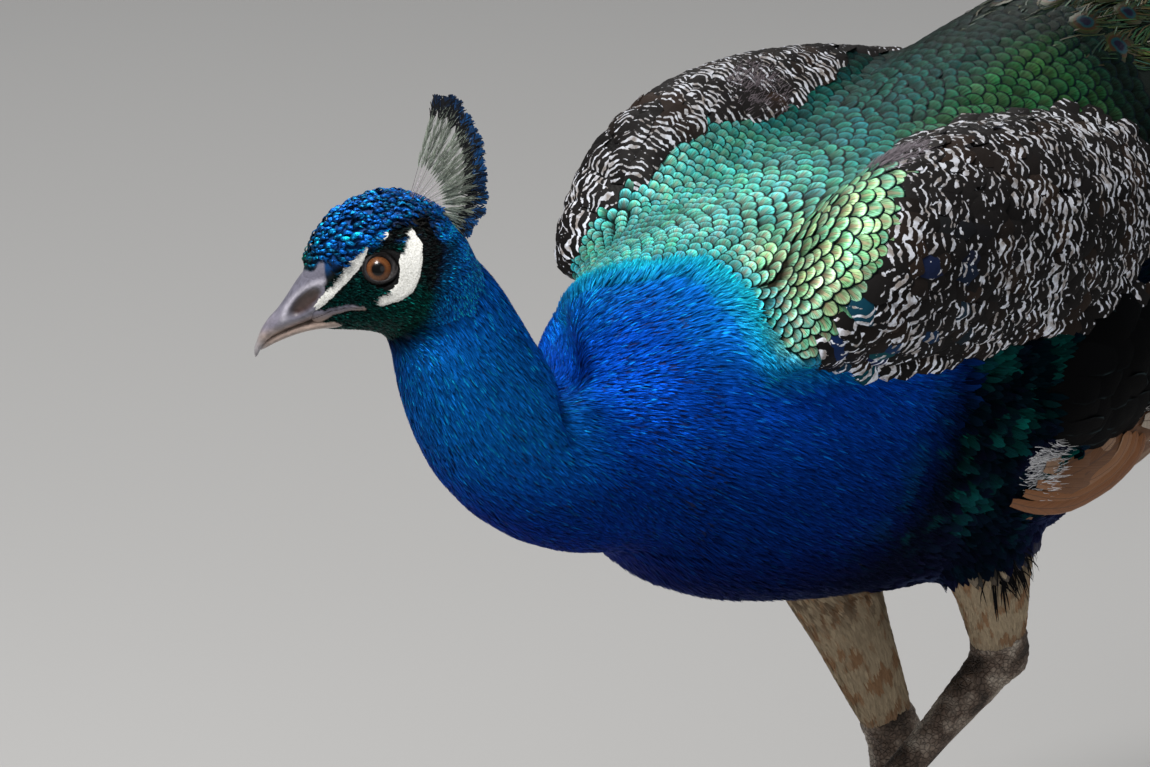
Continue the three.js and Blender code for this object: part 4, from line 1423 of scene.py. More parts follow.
# bill
billSizes = {
    "upper": {
        "x": [-69.4, -68.4, -66.8, -63, -58, -52, -45.6, -38, -34, -30, -27, -24],
        "half": [0.5, 1.5, 2.3, 3.6, 4.8, 6.1, 7.6, 9.8, 11.5, 13.0, 13.6, 12.6],
        "top": [-16.2, -13.6, -11.6, -7.2, -3.2, 0, 4.4, 10.0, 12.4, 14.4, 15.0, 14.0],
        "low": [-17.8, -17.2, -15.8, -12.8, -11.0, -10.2, -9.9, -9.6, -8.8, -7.6, -7.4, -7.4],
    },
    "lower": {
        "x": [-65.8, -64.5, -60, -54.6, -45, -38, -33, -29, -24],
        "half": [0.5, 1.5, 2.9, 4.1, 6.0, 7.8, 9.6, 11.4, 11.4],
        "top": [-13.6, -12.6, -10.8, -9.8, -9.2, -9.4, -8.8, -8.2, -8.0],
        "low": [-15.4, -15.3, -14.6, -14.0, -13.7, -14.3, -15.3, -16.2, -17.2],
    },
}


def billLoft(rows):
    # the rings crowd at the tip, and their outline is a little squared
    along, around, power = 90, 48, 0.9
    xs = np.linspace(0, 1, along) ** 1.15 * (rows["x"][-1] - rows["x"][0]) + rows["x"][0]
    angles = np.linspace(0, 2 * np.pi, around, endpoint=False)
    half, top, low = (smoothRead(xs, rows["x"], rows[key])[:, None] for key in ("half", "top", "low"))
    across = np.sign(np.cos(angles)) * np.abs(np.cos(angles)) ** power
    up = np.sign(np.sin(angles)) * np.abs(np.sin(angles)) ** power
    ridge = 1 - 0.16 * np.maximum(np.sin(angles), 0) ** 2
    middle, reach = (top + low) / 2, (top - low) / 2
    rings = np.stack([np.repeat(xs[:, None], around, 1), half * across * ridge, middle + reach * up], 2)
    flat = rings.reshape(-1, 3)
    hollow, rim = nostrilShare(flat)
    onSides = ramp(np.abs(flat[:, 1]), 1.5, 4)
    flat[:, 1] += np.sign(flat[:, 1]) * onSides * (nostril["rim"] * rim - nostril["depth"] * hollow)
    points, faces = loft(flat.reshape(along, around, 3))
    return points, facingOut(points - points.mean(0), faces)


billMade = material("billHorn", Metallic=0.0, Roughness=0.34, Coat_Weight=0.25, Coat_Roughness=0.2)
growth = noiseNode(1.0, 3.0, stretched(objectPlace(), (60, 420, 420), (0, radians(21), radians(45))))
paint(timesNode(attribute("tint", "Color"), rampNode(growth, [(0.3, 0.72), (0.7, 1.18)])))
bumpNode(growth, 0.25, 0.0005)


for half in ("upper", "lower"):
    localPoints, faces = billLoft(billSizes[half])
    piece = makeMesh(f"bill_{half}_horn", fromHead(localPoints), faces)
    pointTint(piece, billTint(localPoints, half == "upper"))
    finishPiece(piece, billMade, "bill_horn", f"bill_{half}")
print("bill made")

# eyes and lids
lidSizes = {"shift": (1.7, 0.5), "opening": (6.6, 5.8), "crest": (7.5, 6.5), "foot": (9.3, 7.9),
            "around": 96, "rows": 13}
eyeMade = material("irisBrown", Roughness=0.3, Specular_IOR_Level=0.15, Coat_Weight=0.45, Coat_Roughness=0.02)
ringAttribute = attribute("ring")
turnAttribute = attribute("turn")
spokes = combineNode(mathNode("MULTIPLY", turnAttribute, 14.0), mathNode("MULTIPLY", ringAttribute, 1.6))
spokeNoise = noiseNode(1.0, 3.0, spokes)
irisRing = rampNode(ringAttribute, [
    (0.0, (0.002, 0.002, 0.002)), (0.40, (0.002, 0.002, 0.002)), (0.44, (0.06, 0.020, 0.008)),
    (0.60, (0.15, 0.055, 0.017)), (0.88, (0.10, 0.034, 0.012)), (0.97, (0.02, 0.009, 0.006)),
    (1.0, (0.004, 0.003, 0.003))])
paint(timesNode(irisRing, rampNode(spokeNoise, [(0.3, 0.65), (0.7, 1.4)])))

lidMade = material("lidSkin", Roughness=0.5, Specular_IOR_Level=0.3)
wrinkle = noiseNode(900.0, 3.0)
lidTone = rampNode(attribute("edge"), [
    (0.0, (0.010, 0.008, 0.008)), (0.22, (0.030, 0.026, 0.027)), (0.45, (0.018, 0.016, 0.018)),
    (0.7, (0.003, 0.003, 0.0035))])
paint(timesNode(lidTone, rampNode(wrinkle, [(0.3, 0.5), (0.7, 1.4)])))
bumpNode(wrinkle, 0.6, 0.0004)

for side, sideName in ((-1, "left"), (1, "right")):
    middle = np.array((eyeSpot["x"], side * eyeSpot["side"], eyeSpot["z"]))
    way = unit(np.array(eyeSpot["way"]) * (1, side, 1))
    fore = unit(np.array((1.0, 0, 0)) - way * way[0])
    rise = np.cross(fore, way) * (1 if np.cross(fore, way)[2] > 0 else -1)
    # the ball, with the cornea standing a little proud over the iris
    rings, around = 56, 72
    angle = np.linspace(0.002, np.pi - 0.002, rings)[:, None]
    turn = np.linspace(0, 2 * np.pi, around, endpoint=False)[None]
    radius = eyeSpot["radius"] + 0.45 * (1 - ramp(np.degrees(angle), 10, 42))
    shares = (np.cos(angle), np.sin(angle) * np.cos(turn), np.sin(angle) * np.sin(turn))
    outward, ahead, upward = ((share * radius)[..., None] for share in shares)
    points, faces = loft(way * outward + fore * ahead + rise * upward)
    piece = makeMesh(f"eye_ball_{sideName}", fromHead(points + middle), facingOut(points, faces))
    irisReach = radians(44)
    ring = np.concatenate([np.repeat(angle, around, 1).ravel(), [0.0, np.pi]]) / irisReach
    pointNumber(piece, "ring", np.clip(ring, 0, 1))
    pointNumber(piece, "turn", np.concatenate([np.abs(np.repeat(turn, rings, 0).ravel() - np.pi), [0, 0]]))
    finishPiece(piece, eyeMade, "eye_iris", f"eye_{sideName}")
    # the lids, one ring with a slack fold at the back
    around = lidSizes["around"]
    turn = np.linspace(0, 2 * np.pi, around, endpoint=False)
    shares = np.linspace(0, 1, lidSizes["rows"])
    profile = []
    for share in shares:
        reachA, reachB = alongLine(share, [0, 0.4, 1],
                                   [lidSizes[key] for key in ("opening", "crest", "foot")])
        back = 1 + 0.10 * np.maximum(np.cos(turn), 0) * share
        a, b = reachA * back * np.cos(turn), reachB * np.sin(turn)
        slack = 0.12 * np.sin(turn * 9 + share * 7) * share
        ballHeight = np.sqrt(np.maximum(eyeSpot["radius"] ** 2 - np.minimum(np.hypot(a, b), 8.2) ** 2, 0))
        height = np.interp(share, [0, 0.15, 0.45, 0.75, 1], [6.55, 7.0, 7.05, 6.4, 4.6]) + slack
        height = np.where(share < 0.1, np.minimum(height, ballHeight + 0.9), height)
        profile.append(middle + way * height[:, None] + fore * (a + lidSizes["shift"][0])[:, None]
                       + rise * (b + lidSizes["shift"][1])[:, None])
    under = [middle + way * 3.2 + (profile[-1] - middle) * 0.55,
             middle + way * 3.0 + (profile[0] - middle) * 0.55]
    band = np.array([*profile, *under])
    points, faces = loft(band, capped=False)
    last = (len(band) - 1) * around
    a = np.arange(around)
    b = (a + 1) % around
    closing = np.concatenate([np.stack([last + a, last + b, b], 1), np.stack([last + a, b, a], 1)])
    piece = makeMesh(f"lids_{sideName}", fromHead(points), np.concatenate([faces, closing]))
    edge = np.concatenate([np.repeat(shares, around), np.ones(2 * around)])
    pointNumber(piece, "edge", edge)
    finishPiece(piece, lidMade, "head_feather")
print("eyes made")


# crest: shafts bare at the root, then thin pale barbs, a dark band and a blue tuft
crest = {
    "tips": [(52, 66.7), (58, 64.8), (61.9, 48.6), (61.3, 36.6), (55.5, 17.2), (51.7, 9.9), (41.4, 2.0)],
    "roots": ((21.5, 26.0), (27.5, 20.5)), "count": 23, "shaft": 0.21, "tuft": 7.5, "curls": 60,
}
crestMade = fleckedMaterial(
    "crestVane", 1200.0, [(0.3, 0.6), (0.7, 1.35)], (0.3, 0.0003), Metallic=0.25, Roughness=0.45)
crestCoat = Coat("coat_crest", crestMade, "crest_feather")


def crestVanes(starts, ways, ups, lengths, widths, tints, outline):
    # straight vanes in free air
    t = np.linspace(0, 1, 3)
    lines = starts[:, None, :] + ways[:, None, :] * (lengths[:, None] * t)[..., None]
    headings = unit(np.repeat(ways[:, None, :], 3, 1))
    upAll = np.repeat(ups[:, None, :], 3, 1)
    upAll = unit(upAll - (upAll * headings).sum(2, keepdims=True) * headings)
    points = vanes(lines, upAll, headings, widths, outline, 0 * t)
    crestCoat.add(points, tints, np.repeat(crestBake, len(starts), 0), outline)


crestMap = settle(fromHead([(crest["roots"][0][0], 0, crest["roots"][0][1])]))[2]
crestBake = faceMap[crestMap]
tipRun = runOf(crest["tips"])
for index in range(crest["count"]):
    share = index / (crest["count"] - 1)
    tipX, tipZ = alongLine(share * tipRun[-1], tipRun, crest["tips"])
    tip = np.array((tipX, rng.normal(0, 1.2), tipZ)) + rng.normal(0, 0.35, 3)
    rootX, rootZ = mix(crest["roots"][0], crest["roots"][1], share)
    start = np.array((rootX, rng.normal(0, 0.7), rootZ))
    way = unit(tip - start)
    reach = np.linalg.norm(tip - start)
    world = way @ headTurn.T
    across = unit(np.cross(world, headSide))
    # the shaft, as two crossed narrow vanes
    shaftTone = mix((0.30, 0.23, 0.28), (0.78, 0.68, 0.76), index % 3 / 2)
    for flat in (headSide, across):
        crestVanes(fromHead([start]), world[None], flat[None], np.array([reach / 1000 * 0.95]),
                   np.array([crest["shaft"] / 1000]), shaftTone[None], tapered(0.6))
    # a web of pale barbs low down, a crowded dark band, and the blue tuft
    tuftFrom = reach - crest["tuft"] * rng.uniform(0.9, 1.1)
    front = 0.25 + 0.75 * ramp(share, 0.04, 0.26)
    for low, high, number, longness, tone, spread, wide in (
        (0.32 * reach, tuftFrom - 1.0, 90, 6.0, (0.26, 0.30, 0.25), 12, 0.27),
        (tuftFrom - 4.5, tuftFrom + 4.0, 74, 4.6, (0.002, 0.003, 0.006), 30, 0.65),
        (tuftFrom + 0.5, reach - 0.6, 60, 3.9, (0.002, 0.072 * front, 0.24 * front), 32, 0.6),
    ):
        at = rng.uniform(low, high, number)
        splay = radians(spread) * rng.uniform(0.4, 1.15, number) * np.where(np.arange(number) % 2, 1, -1)
        headings = world * np.cos(splay)[:, None] + across * np.sin(splay)[:, None]
        headings = unit(headings + headSide * rng.normal(0, 0.12, (number, 1)))
        lengths = np.minimum(longness * rng.uniform(0.6, 1.15, number), (reach - at) * 1.02 + 0.6) / 1000
        starts = fromHead(start + way * at[:, None])
        tones = np.array(tone) * variety(number, 0.35)
        crestVanes(starts, headings, np.repeat(headSide[None], number, 0), lengths,
                   np.full(number, wide / 1000), np.clip(tones, 0, 1), tapered(0.6, 2))
# a small curly tuft behind the root
for _ in range(crest["curls"]):
    start = np.array((29.5, -2, 17)) + rng.normal(0, 1.3, 3)
    way = unit(np.array((0.9, -0.25, 0.35)) + rng.normal(0, 0.5, 3)) @ headTurn.T
    crestVanes(fromHead([start]), way[None], headSide[None], np.array([rng.uniform(3, 5.5) / 1000]),
               np.array([0.0011]), np.array([(0.003, 0.09, 0.33)]) * rng.uniform(0.5, 1.6), tapered(0.6, 2))
crestCoat.make("crest")
print("crest made")


# legs
legLines = {
    "right": {"hip": (-10, 55, 330), "hock": (63, 35, 153), "ball": (34, 14, 9)},
    "left": {"hip": (12, -62, 350), "hock": (57, -41, 218), "ball": (-44, -11, 119)},
}
legMade = material("legScale", Roughness=0.55, Specular_IOR_Level=0.35)
cells = node("TexVoronoi", feature="DISTANCE_TO_EDGE")
cells.inputs["Scale"].default_value = 420.0
links.new(objectPlace(), cells.inputs["Vector"])
cellEdge = rampNode(cells.outputs["Distance"], [(0.0, 0.25), (0.14, 1.0)])
toneOf = rampNode(noiseNode(60.0, 4.0), [
    (0.36, (0.040, 0.026, 0.018)), (0.48, (0.125, 0.085, 0.062)), (0.56, (0.27, 0.215, 0.17)),
    (0.68, (0.46, 0.40, 0.33))])
scuteLight = rampNode(attribute("scute"), [(0.0, 0.45), (0.25, 1.0), (1.0, 1.15)])
paint(timesNode(mixNode(0.42, toneOf, cellEdge, "MULTIPLY"), scuteLight))
bumpNode(cellEdge, 0.9, 0.0009)


def lineFrame(points, first, second):
    # share along a bone, and the place round it
    way = unit(second - first)
    share = (points - first) @ way
    return share * 1000, points - first - share[:, None] * way


def pad(at, radii):
    # a rounded lump for the fused skin of a joint
    angle = np.linspace(0.05, np.pi - 0.05, 12)[:, None]
    turn = np.linspace(0, 2 * np.pi, 24, endpoint=False)[None]
    rings = np.stack([np.cos(angle) + 0 * turn, np.sin(angle) * np.cos(turn), np.sin(angle) * np.sin(turn)],
                     2)
    points, faces = loft(rings * np.array(radii) / 1000 + at)
    return points, facingOut(points - at, faces)


for sideName, leg in legLines.items():
    toes = [f"toe_{toe}_{sideName}" for toe in ("inner", "middle", "outer", "hind")]
    hock, hip = spot(*leg["hock"]), spot(*leg["hip"])
    lumps = ((0.001, (15, 13.5, 14)), (0.011, (15, 13.5, 13)))
    knee = [pad(hock + unit(hip - hock) * lift, radii) for lift, radii in lumps]
    piece = fused(f"leg_{sideName}_scaled", [f"tarsus_{sideName}", *knee, *toes], 0.0012, 0.0004)
    points, edges = pointsOf(piece.data), edgesOf(piece.data)
    lumpy = np.exp(-((np.linalg.norm(points - hock, axis=1) / 0.022) ** 2))
    points = smoothed(points, edges, 14)
    points = smoothed(points, edges, 40, 0.5, lumpy)
    setPoints(piece, points)
    ups = normalsOf(piece.data)
    points = points + ups * (0.9 * ripple(points, 0.007, 31) * lumpy / 1000)[:, None]
    ball = spot(*leg["ball"])
    mmAlong, around = lineFrame(points, hock, ball)
    boneLong = np.linalg.norm(ball - hock) * 1000
    onTarsus = ramp(-mmAlong, -boneLong + 4, -boneLong + 14)
    wave = (mmAlong / 5.2) % 1.0
    front = ramp(-around[:, 0] * 1000, -1.0, 2.5)
    plates = (0.42 * wave ** 0.5 - 0.2) * front * onTarsus
    scuteHere = mix(np.ones((len(points), 1)), np.clip(wave * 2, 0, 1)[:, None], front * onTarsus)[:, 0]
    for toe in toes:
        low, high = (np.array(corner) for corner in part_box(toe))
        mine = np.all((points > low - 0.001) & (points < high + 0.001), axis=1) & (onTarsus < 0.5)
        reach = np.linalg.norm(points - ball, axis=1) * 1000
        waveToe = (reach / 3.9) % 1.0
        upper = ramp(ups[:, 2] if sideName == "right" else -ups[:, 0], -0.1, 0.5)
        plates = np.where(mine, (0.34 * waveToe ** 0.5 - 0.17) * upper, plates)
        scuteHere = np.where(mine, 1 - upper * (1 - np.clip(waveToe * 2, 0, 1)), scuteHere)
    points = points + ups * (plates / 1000)[:, None]
    aboveFloor(points)
    setPoints(piece, points)
    pointNumber(piece, "scute", scuteHere)
    finishPiece(piece, legMade, "leg_scale", f"tarsus_{sideName}", *toes)
print("legs made")

hornMade = material("clawHorn", Roughness=0.35)
grainOf = noiseNode(300.0, 4.0)
paint(rampNode(grainOf, [(0.3, (0.018, 0.014, 0.012)), (0.7, (0.07, 0.055, 0.045))]))
bumpNode(grainOf, 0.3, 0.0004)
for sideName in ("left", "right"):
    for part in ("claw_inner", "claw_middle", "claw_outer", "claw_hind", "spur"):
        piece = fused(f"{part}_{sideName}_horn", [f"{part}_{sideName}"], 0.0005, 0.0002)
        points = smoothed(pointsOf(piece.data), edgesOf(piece.data), 6)
        aboveFloor(points)
        setPoints(piece, points)
        finishPiece(piece, hornMade, "claw_horn", f"{part}_{sideName}")
print("claws made")


# thighs: short cream feathers with rusty streaks and brown smudges
def thighTint(places):
    mm = unspot(places)
    streaks = places * (1.0, 1.0, 0.45)
    smudge = ramp(ripple(streaks, 0.012, 31) + 0.6 * ripple(streaks, 0.005, 32), 0.05, 0.75)
    base = mix(evenTone(hues["cream"], len(places)), (0.26, 0.115, 0.045), smudge * 0.7)
    # patchy painted shade under the belly on the far thigh's upper part
    shadedTop = ramp(mm[:, 2], 205, 250) * (mm[:, 1] > 0) * ramp(ripple(streaks, 0.010, 33), -0.3, 0.4)
    base = mix(base, (0.075, 0.042, 0.026), shadedTop * 0.8)
    nearHock = np.minimum(*[np.linalg.norm(places - spot(*leg["hock"]), axis=1) for leg in legLines.values()])
    return mix(base, (0.16, 0.12, 0.09), (1 - ramp(nearHock * 1000, 8, 34)) * 0.8)


downMade = featherMaterial("thighDown", contrast=0.18, Roughness=0.75)
thighCoat = Coat("coat_thighs", downMade, "thigh_feather")
hairs(thighCoat, thighZone, count=19000, length=5.5, width=1.3, rise=(0.1, 0.3, 0.45, 0.5),
      shade=(0.93, 1.0, 1.0, 1.02), uneven=0.07, hue=thighTint, rollBy=0.2)
thighCoat.make("thigh_left", "thigh_right")

# small tufts: down at the shoulders, white fluff before the flight feathers
tuftCoat = Coat("coat_down", downMade, "wing_barred")
for at, radius, count, length, width, tone in (
    ((-42, -58, 495), 8, 2200, 6, 0.45, (0.17, 0.15, 0.17)),
    # the far shoulder's down is darker: painted shade
    ((-24, 52, 500), 9, 1800, 6, 0.45, (0.10, 0.085, 0.095)),
    ((28, -90, 333), 7, 900, 7, 0.45, (0.72, 0.72, 0.74)),
    ((108, -88, 345), 9, 700, 12, 0.6, (0.62, 0.60, 0.58)),
    ((30, -58, 288), 3, 60, 22, 1.0, (0.003, 0.003, 0.004)),
):
    near = np.linalg.norm(faceMm - np.array(at), axis=1)
    near = near - near.min()
    hairs(tuftCoat, np.exp(-((near / radius) ** 2)) * (near < radius * 2), count=count, length=length,
          width=width, rise=(0.8, 2.2, 2.8, 3.2),
          shade=(0.9, 1.0, 1.05, 1.1), uneven=0.18, sway=0.45, hue=lambda places,
          tone=tone: evenTone(tone, len(places)))
tuftCoat.make()

# flight feathers: chestnut primaries with a pale fringe
flight = {"count": 8, "length": 205, "width": 21, "step": 6.5, "steps": 22, "rows": 16, "fringe": 70}
# the short curved feathers that lie over their roots: a line, its width, lift and colour
shortFeathers = [
    ([(8, 318), (30, 309), (55, 305), (82, 310), (100, 320), (104, 332)], 9, 1.6, (0.26, 0.10, 0.035)),
    ([(16, 321), (36, 313), (57, 309), (80, 314), (94, 323), (98, 334)], 8, 2.3, (0.30, 0.125, 0.048)),
    ([(24, 323), (45, 317), (66, 316), (83, 321), (90, 329), (91, 336)], 8, 3.0, (0.34, 0.16, 0.075)),
    ([(30, 331), (46, 326), (60, 325), (74, 329), (82, 336)], 12, 3.5, (0.34, 0.20, 0.12)),
    ([(100, 338), (112, 336), (126, 340), (140, 350)], 13, 3.0, (0.46, 0.38, 0.30)),
]
flightMade = material("chestnutVane", Roughness=0.45, Specular_IOR_Level=0.3)
across, along = vaneMap()
lean = mathNode("MULTIPLY", mathNode("ABSOLUTE", across), -9.0)
slant = mathNode("MULTIPLY_ADD", along, 90.0, lean)
barbNoise = noiseNode(2.0, 3.0, combineNode(slant, mathNode("MULTIPLY", attribute("odd"), 40.0)))
margin = rampNode(mathNode("ABSOLUTE", across), [(0.74, 0.0), (0.94, 0.3)])
shaftMask = rampNode(mathNode("ABSOLUTE", across), [(0.03, 1.0), (0.07, 0.0)])
barbed = timesNode(attribute("tint", "Color"), rampNode(barbNoise, [(0.3, 0.72), (0.7, 1.2)]))
barbed = mixNode(margin, barbed, (0.62, 0.45, 0.32))
paint(mixNode(mathNode("MULTIPLY", shaftMask, 0.7), barbed, (0.10, 0.05, 0.03)))
bumpNode(barbNoise, 0.3, 0.0006)


def quill(t):
    # a long flight or tail feather: slim at the root, round at the end
    end = np.clip((t - 0.8) / 0.2, 0, 1)
    return (0.45 + 0.55 * np.minimum(1, t / 0.35)) * np.sqrt(np.maximum(1 - end**2, 0.03))


flightCoat = Coat("coat_primaries", flightMade, "wing_rufous")
for side in (-1, 1):
    starts = np.array([spot(-6 + flight["step"] * k, side * 82,
                            303 + 3.2 * k) for k in range(flight["count"])])
    starts[:, 2] += 0.009 * (side > 0)
    places, ups0, faces = settle(starts)
    lengths = flight["length"] / 1000 * np.linspace(1.0, 1.25, flight["count"])
    heading = unit(np.tile((0.97, -0.08 * side, 0.22), (flight["count"], 1)))
    heading = unit(heading - (heading * ups0).sum(1, keepdims=True) * ups0)
    lines, ups, ways = walk(places, ups0, lengths, flight["steps"], turn=0.25, ways=heading)
    rows = flight["steps"] + 1
    stack = np.linspace(1.0, 4.5, flight["count"])[:, None] / 1000 * np.linspace(0.4, 1, rows)[None]
    points = vanes(lines, ups, ways, np.full(flight["count"], flight["width"] / 1000), quill, stack, 0.0016,
                   7, roll=np.full(flight["count"], -0.10 * side))
    tones = evenTone(hues["chestnut"], flight["count"]) * np.linspace(1.0, 0.8, flight["count"])[:, None]
    flightCoat.add(points, shaded(tones, np.linspace(1.1, 0.75, rows)), faceMap[faces], quill)
    for line, wide, lifted, tone in shortFeathers:
        steps = np.linspace(0, len(line) - 1, flight["rows"])
        x, z = alongLine(steps, np.arange(len(line)), line).T
        curve = np.array([spot(*corner) for corner in zip(x, np.full(len(x), side * 86.5),
                                                          z + 3 + 9 * (side > 0))])
        curve = smoothed(curve, np.stack([np.arange(len(x) - 1), np.arange(1, len(x))], 1), 1)
        _, ups0, faces = settle(curve)
        ups0 = unit(ups0 + (0, side * 0.8, 0))[None]
        ways = unit(np.gradient(curve, axis=0))[None]
        points = vanes(curve[None], ups0, ways, np.array([wide / 1000]), quill,
                       np.full(len(x), lifted / 1000), 0.0010, 7)
        flightCoat.add(points, np.array([tone]), faceMap[faces[:1]], quill)
    # the pale fringe under the lowest ones
    number = flight["fringe"]
    fringeAt = np.array([spot(x, side * 84, z) for x, z in np.linspace((0, 300), (150, 328), number)])
    fringeAt[:, 2] += 0.009 * (side > 0)
    places, ups0, faces = settle(fringeAt)
    lines, ups, ways = walk(places, ups0, np.full(number, 0.020), 3, sway=0.25)
    points = vanes(lines, ups, ways, np.full(number, 0.0022), tipped(),
                   np.array([0.5, 0.2, -0.4, -1.0]) / 1000)
    flightCoat.add(points, evenTone((0.55, 0.52, 0.45), number), faceMap[faces], tipped())
flightCoat.make(*[name for name in wingNodes if "primaries" in name])

# the top of the train, read from above, which its feathers lie on
train = {
    "first": 62, "last": 1496, "columns": 45, "step": 11, "eyesFrom": 118, "rowGap": (20, 52),
    "eyeSize": (13, 33), "barbs": 34, "sideBarbs": 1500, "endBarbs": 2600, "shaftRows": 12, "bedAcross": 25,
}
trainNodes = ["train_base", "train_upper", "train_lower", "train_end"]
trainTrees = [treeOf(*nodeMesh(name)) for name in trainNodes]
trainX = np.arange(train["first"], train["last"] + 1, train["step"], float)
trainY = np.linspace(-176, 176, train["columns"])
down = Vector((0, 0, -1))


def metAt(trees, start, way, choose):
    # the height in mm where a ray meets the trees, and nan where it meets none
    hits = [tree.ray_cast(Vector(start), way)[0] for tree in trees]
    return choose([hit.z for hit in hits if hit is not None], default=np.nan) * 1000


topZ = np.array([[metAt((skinTree, *trainTrees), spot(x, y, 700), down,
                        max) for y in trainY] for x in trainX])
lowZ = np.array([[metAt(trainTrees, spot(x, y, -50), -down, min) for y in trainY] for x in trainX])
trainHalf = np.array([np.abs(trainY[~np.isnan(row)]).max() if (~np.isnan(row)).any() else 40 for row in topZ])
trainHalf = np.where(trainX < 420, np.interp(trainX, [62, 205, 420], [52, 62, 90]), trainHalf)
for row in topZ:
    known = ~np.isnan(row)
    if known.any():
        edgeLeft, edgeRight = trainY[known][0], trainY[known][-1]
        row[:] = np.interp(trainY, trainY[known], row[known])
        row -= np.maximum(edgeLeft - trainY, 0) * 0.35 + np.maximum(trainY - edgeRight, 0) * 0.35
for _ in range(3):
    topZ[1:-1] = (topZ[:-2] + 2 * topZ[1:-1] + topZ[2:]) / 4
    topZ[:, 1:-1] = (topZ[:, :-2] + 2 * topZ[:, 1:-1] + topZ[:, 2:]) / 4
middleZ = topZ[:, len(trainY) // 2]
trainRun = summed(np.hypot(np.diff(trainX), np.diff(middleZ)))
trainLong = trainRun[-1]


def trainBed(run, y):
    # a place on top of the train: run along it and y across it, in mm; the height may be off the edge
    x = np.interp(run, trainRun, trainX) + np.maximum(run - trainLong, 0)
    column = np.clip((y - trainY[0]) / (trainY[1] - trainY[0]), 0, len(trainY) - 1.001)
    line = np.clip((np.minimum(x, trainX[-1]) - trainX[0]) / train["step"], 0, len(trainX) - 1.001)
    i, j = line.astype(int), column.astype(int)
    fi, fj = line - i, column - j
    z = (topZ[i, j] * (1 - fi) * (1 - fj) + topZ[i + 1, j] * fi * (1 - fj) + topZ[i, j + 1] * (1 - fi) * fj
         + topZ[i + 1, j + 1] * fi * fj)
    return np.stack([x / 1000 + frameMid, y / 1000, np.maximum(z, 1.0) / 1000], -1)


def bedUp(run, y):
    ahead = trainBed(run + 4, y) - trainBed(run - 4, y)
    beside = trainBed(run, y + 6) - trainBed(run, y - 6)
    up = unit(np.cross(ahead, beside))
    return up * np.sign(up[..., 2:] + 1e-9)


def halfAt(run):
    return np.interp(run, trainRun, trainHalf)


# where the eyes fall: staggered rows, small and close at the root, larger and wider apart behind
eyeRun, eyeY, eyeWide = [], [], []
run, rowIndex = train["eyesFrom"] - train["first"] + 10.0, 0
while run < trainLong - 60:
    share = run / trainLong
    size = np.interp(share, [0, 0.25, 0.8, 1], [train["eyeSize"][0], 20, train["eyeSize"][1], 30])
    gapHere = np.interp(share, [0, 0.5, 1], [train["rowGap"][0], 40, train["rowGap"][1]])
    reachY = halfAt(run) - size * 0.35
    number = max(2, int(2 * reachY / (size * 1.45)))
    for k in range(number):
        place = (k + 0.5 * (rowIndex % 2) + 0.25) / number * 2 - 1
        eyeRun.append(run + rng.normal(0, gapHere * 0.2))
        eyeY.append(place * reachY + rng.normal(0, size * 0.14))
        eyeWide.append(size * rng.uniform(0.9, 1.1))
    run += gapHere
    rowIndex += 1
eyeRun, eyeY, eyeWide = np.array(eyeRun), np.array(eyeY), np.array(eyeWide)
print("train eyes", len(eyeRun))

trainMade = fleckedMaterial(
    "trainBarb", 500.0, [(0.3, 0.6), (0.7, 1.35)], (0.3, 0.0004), Metallic=0.45, Roughness=0.4)
trainCoat = Coat("coat_train", trainMade, "train_feather")


def bedMap(run, y):
    return np.stack([0.03 + 0.94 * np.clip(run / trainLong, 0, 1),
                     0.03 + 0.94 * np.clip(y / 360 + 0.5, 0, 1)], -1)


def barbsAlong(runs, ys, towards, lengths, widths, splay, tones, lift):
    # barbs from shafts on the train's bed, that curve back along it; towards is -1 or 1 across
    t = np.linspace(0, 1, 4)[None]
    angle = splay[:, None] * (1 - 0.5 * t)
    run = runs[:, None] + lengths[:, None] * t * np.cos(angle)
    y = ys[:, None] + towards[:, None] * lengths[:, None] * t * np.sin(angle)
    line = trainBed(run, y)
    up = bedUp(run, y)
    ways = unit(np.gradient(line, axis=1))
    raised = (lift[:, None] + 1.2 * np.sin(t * np.pi)) / 1000
    points = vanes(line, up, ways, widths / 1000, tapered(0.75, 2), raised, 0.0, 2,
                   roll=rng.normal(0, 0.4, len(runs)))
    aboveFloor(points, 0.0008)
    trainCoat.add(points, shaded(tones, (0.55, 0.95, 1.1, 1.25)), bedMap(runs, ys), tapered(0.75, 2))


def startShade(run):
    # painted shade on the first short plumes, darker than the rest
    return np.interp(run, [20, 90, 260], [0.10, 0.2, 1.0])


greens = np.array([(0.10, 0.17, 0.03), (0.05, 0.20, 0.07), (0.20, 0.15, 0.04), (0.03, 0.16, 0.10)])
number = train["barbs"]
for pairSide in (-1.0, 1.0):
    for batch in range(2):
        # loose barbs before the eye, then shorter ones that wrap it
        reachBack = eyeWide * (3.4 if batch == 0 else 0.9)
        offset = rng.uniform(0.0, 1.0, (len(eyeRun), number)) ** 0.9
        runs = (eyeRun + eyeWide * 0.15)[:, None] - offset * reachBack[:, None]
        longness = (1.0, 1.7) if batch == 0 else (0.75, 1.15)
        lengths = eyeWide[:, None] * rng.uniform(*longness, offset.shape)
        splay = radians(34 if batch == 0 else 46) * rng.uniform(0.6, 1.25, offset.shape)
        tone = greens[rng.integers(0, 4, offset.shape)] * np.exp(rng.normal(0, 0.3, offset.shape))[..., None]
        tone = tone * startShade(eyeRun)[:, None, None]
        widths = eyeWide[:, None] * 0.055 * rng.uniform(0.8, 1.3, offset.shape)
        lift = 0.6 + 2.2 * (1 - offset) + rng.uniform(0, 1.2, offset.shape)
        ys = np.repeat(eyeY[:, None], number, 1) + rng.normal(0, 0.5, offset.shape)
        barbsAlong(runs.ravel(), ys.ravel(), np.full(runs.size, pairSide), lengths.ravel(), widths.ravel(),
                   splay.ravel(), tone.reshape(-1, 3), lift.ravel())
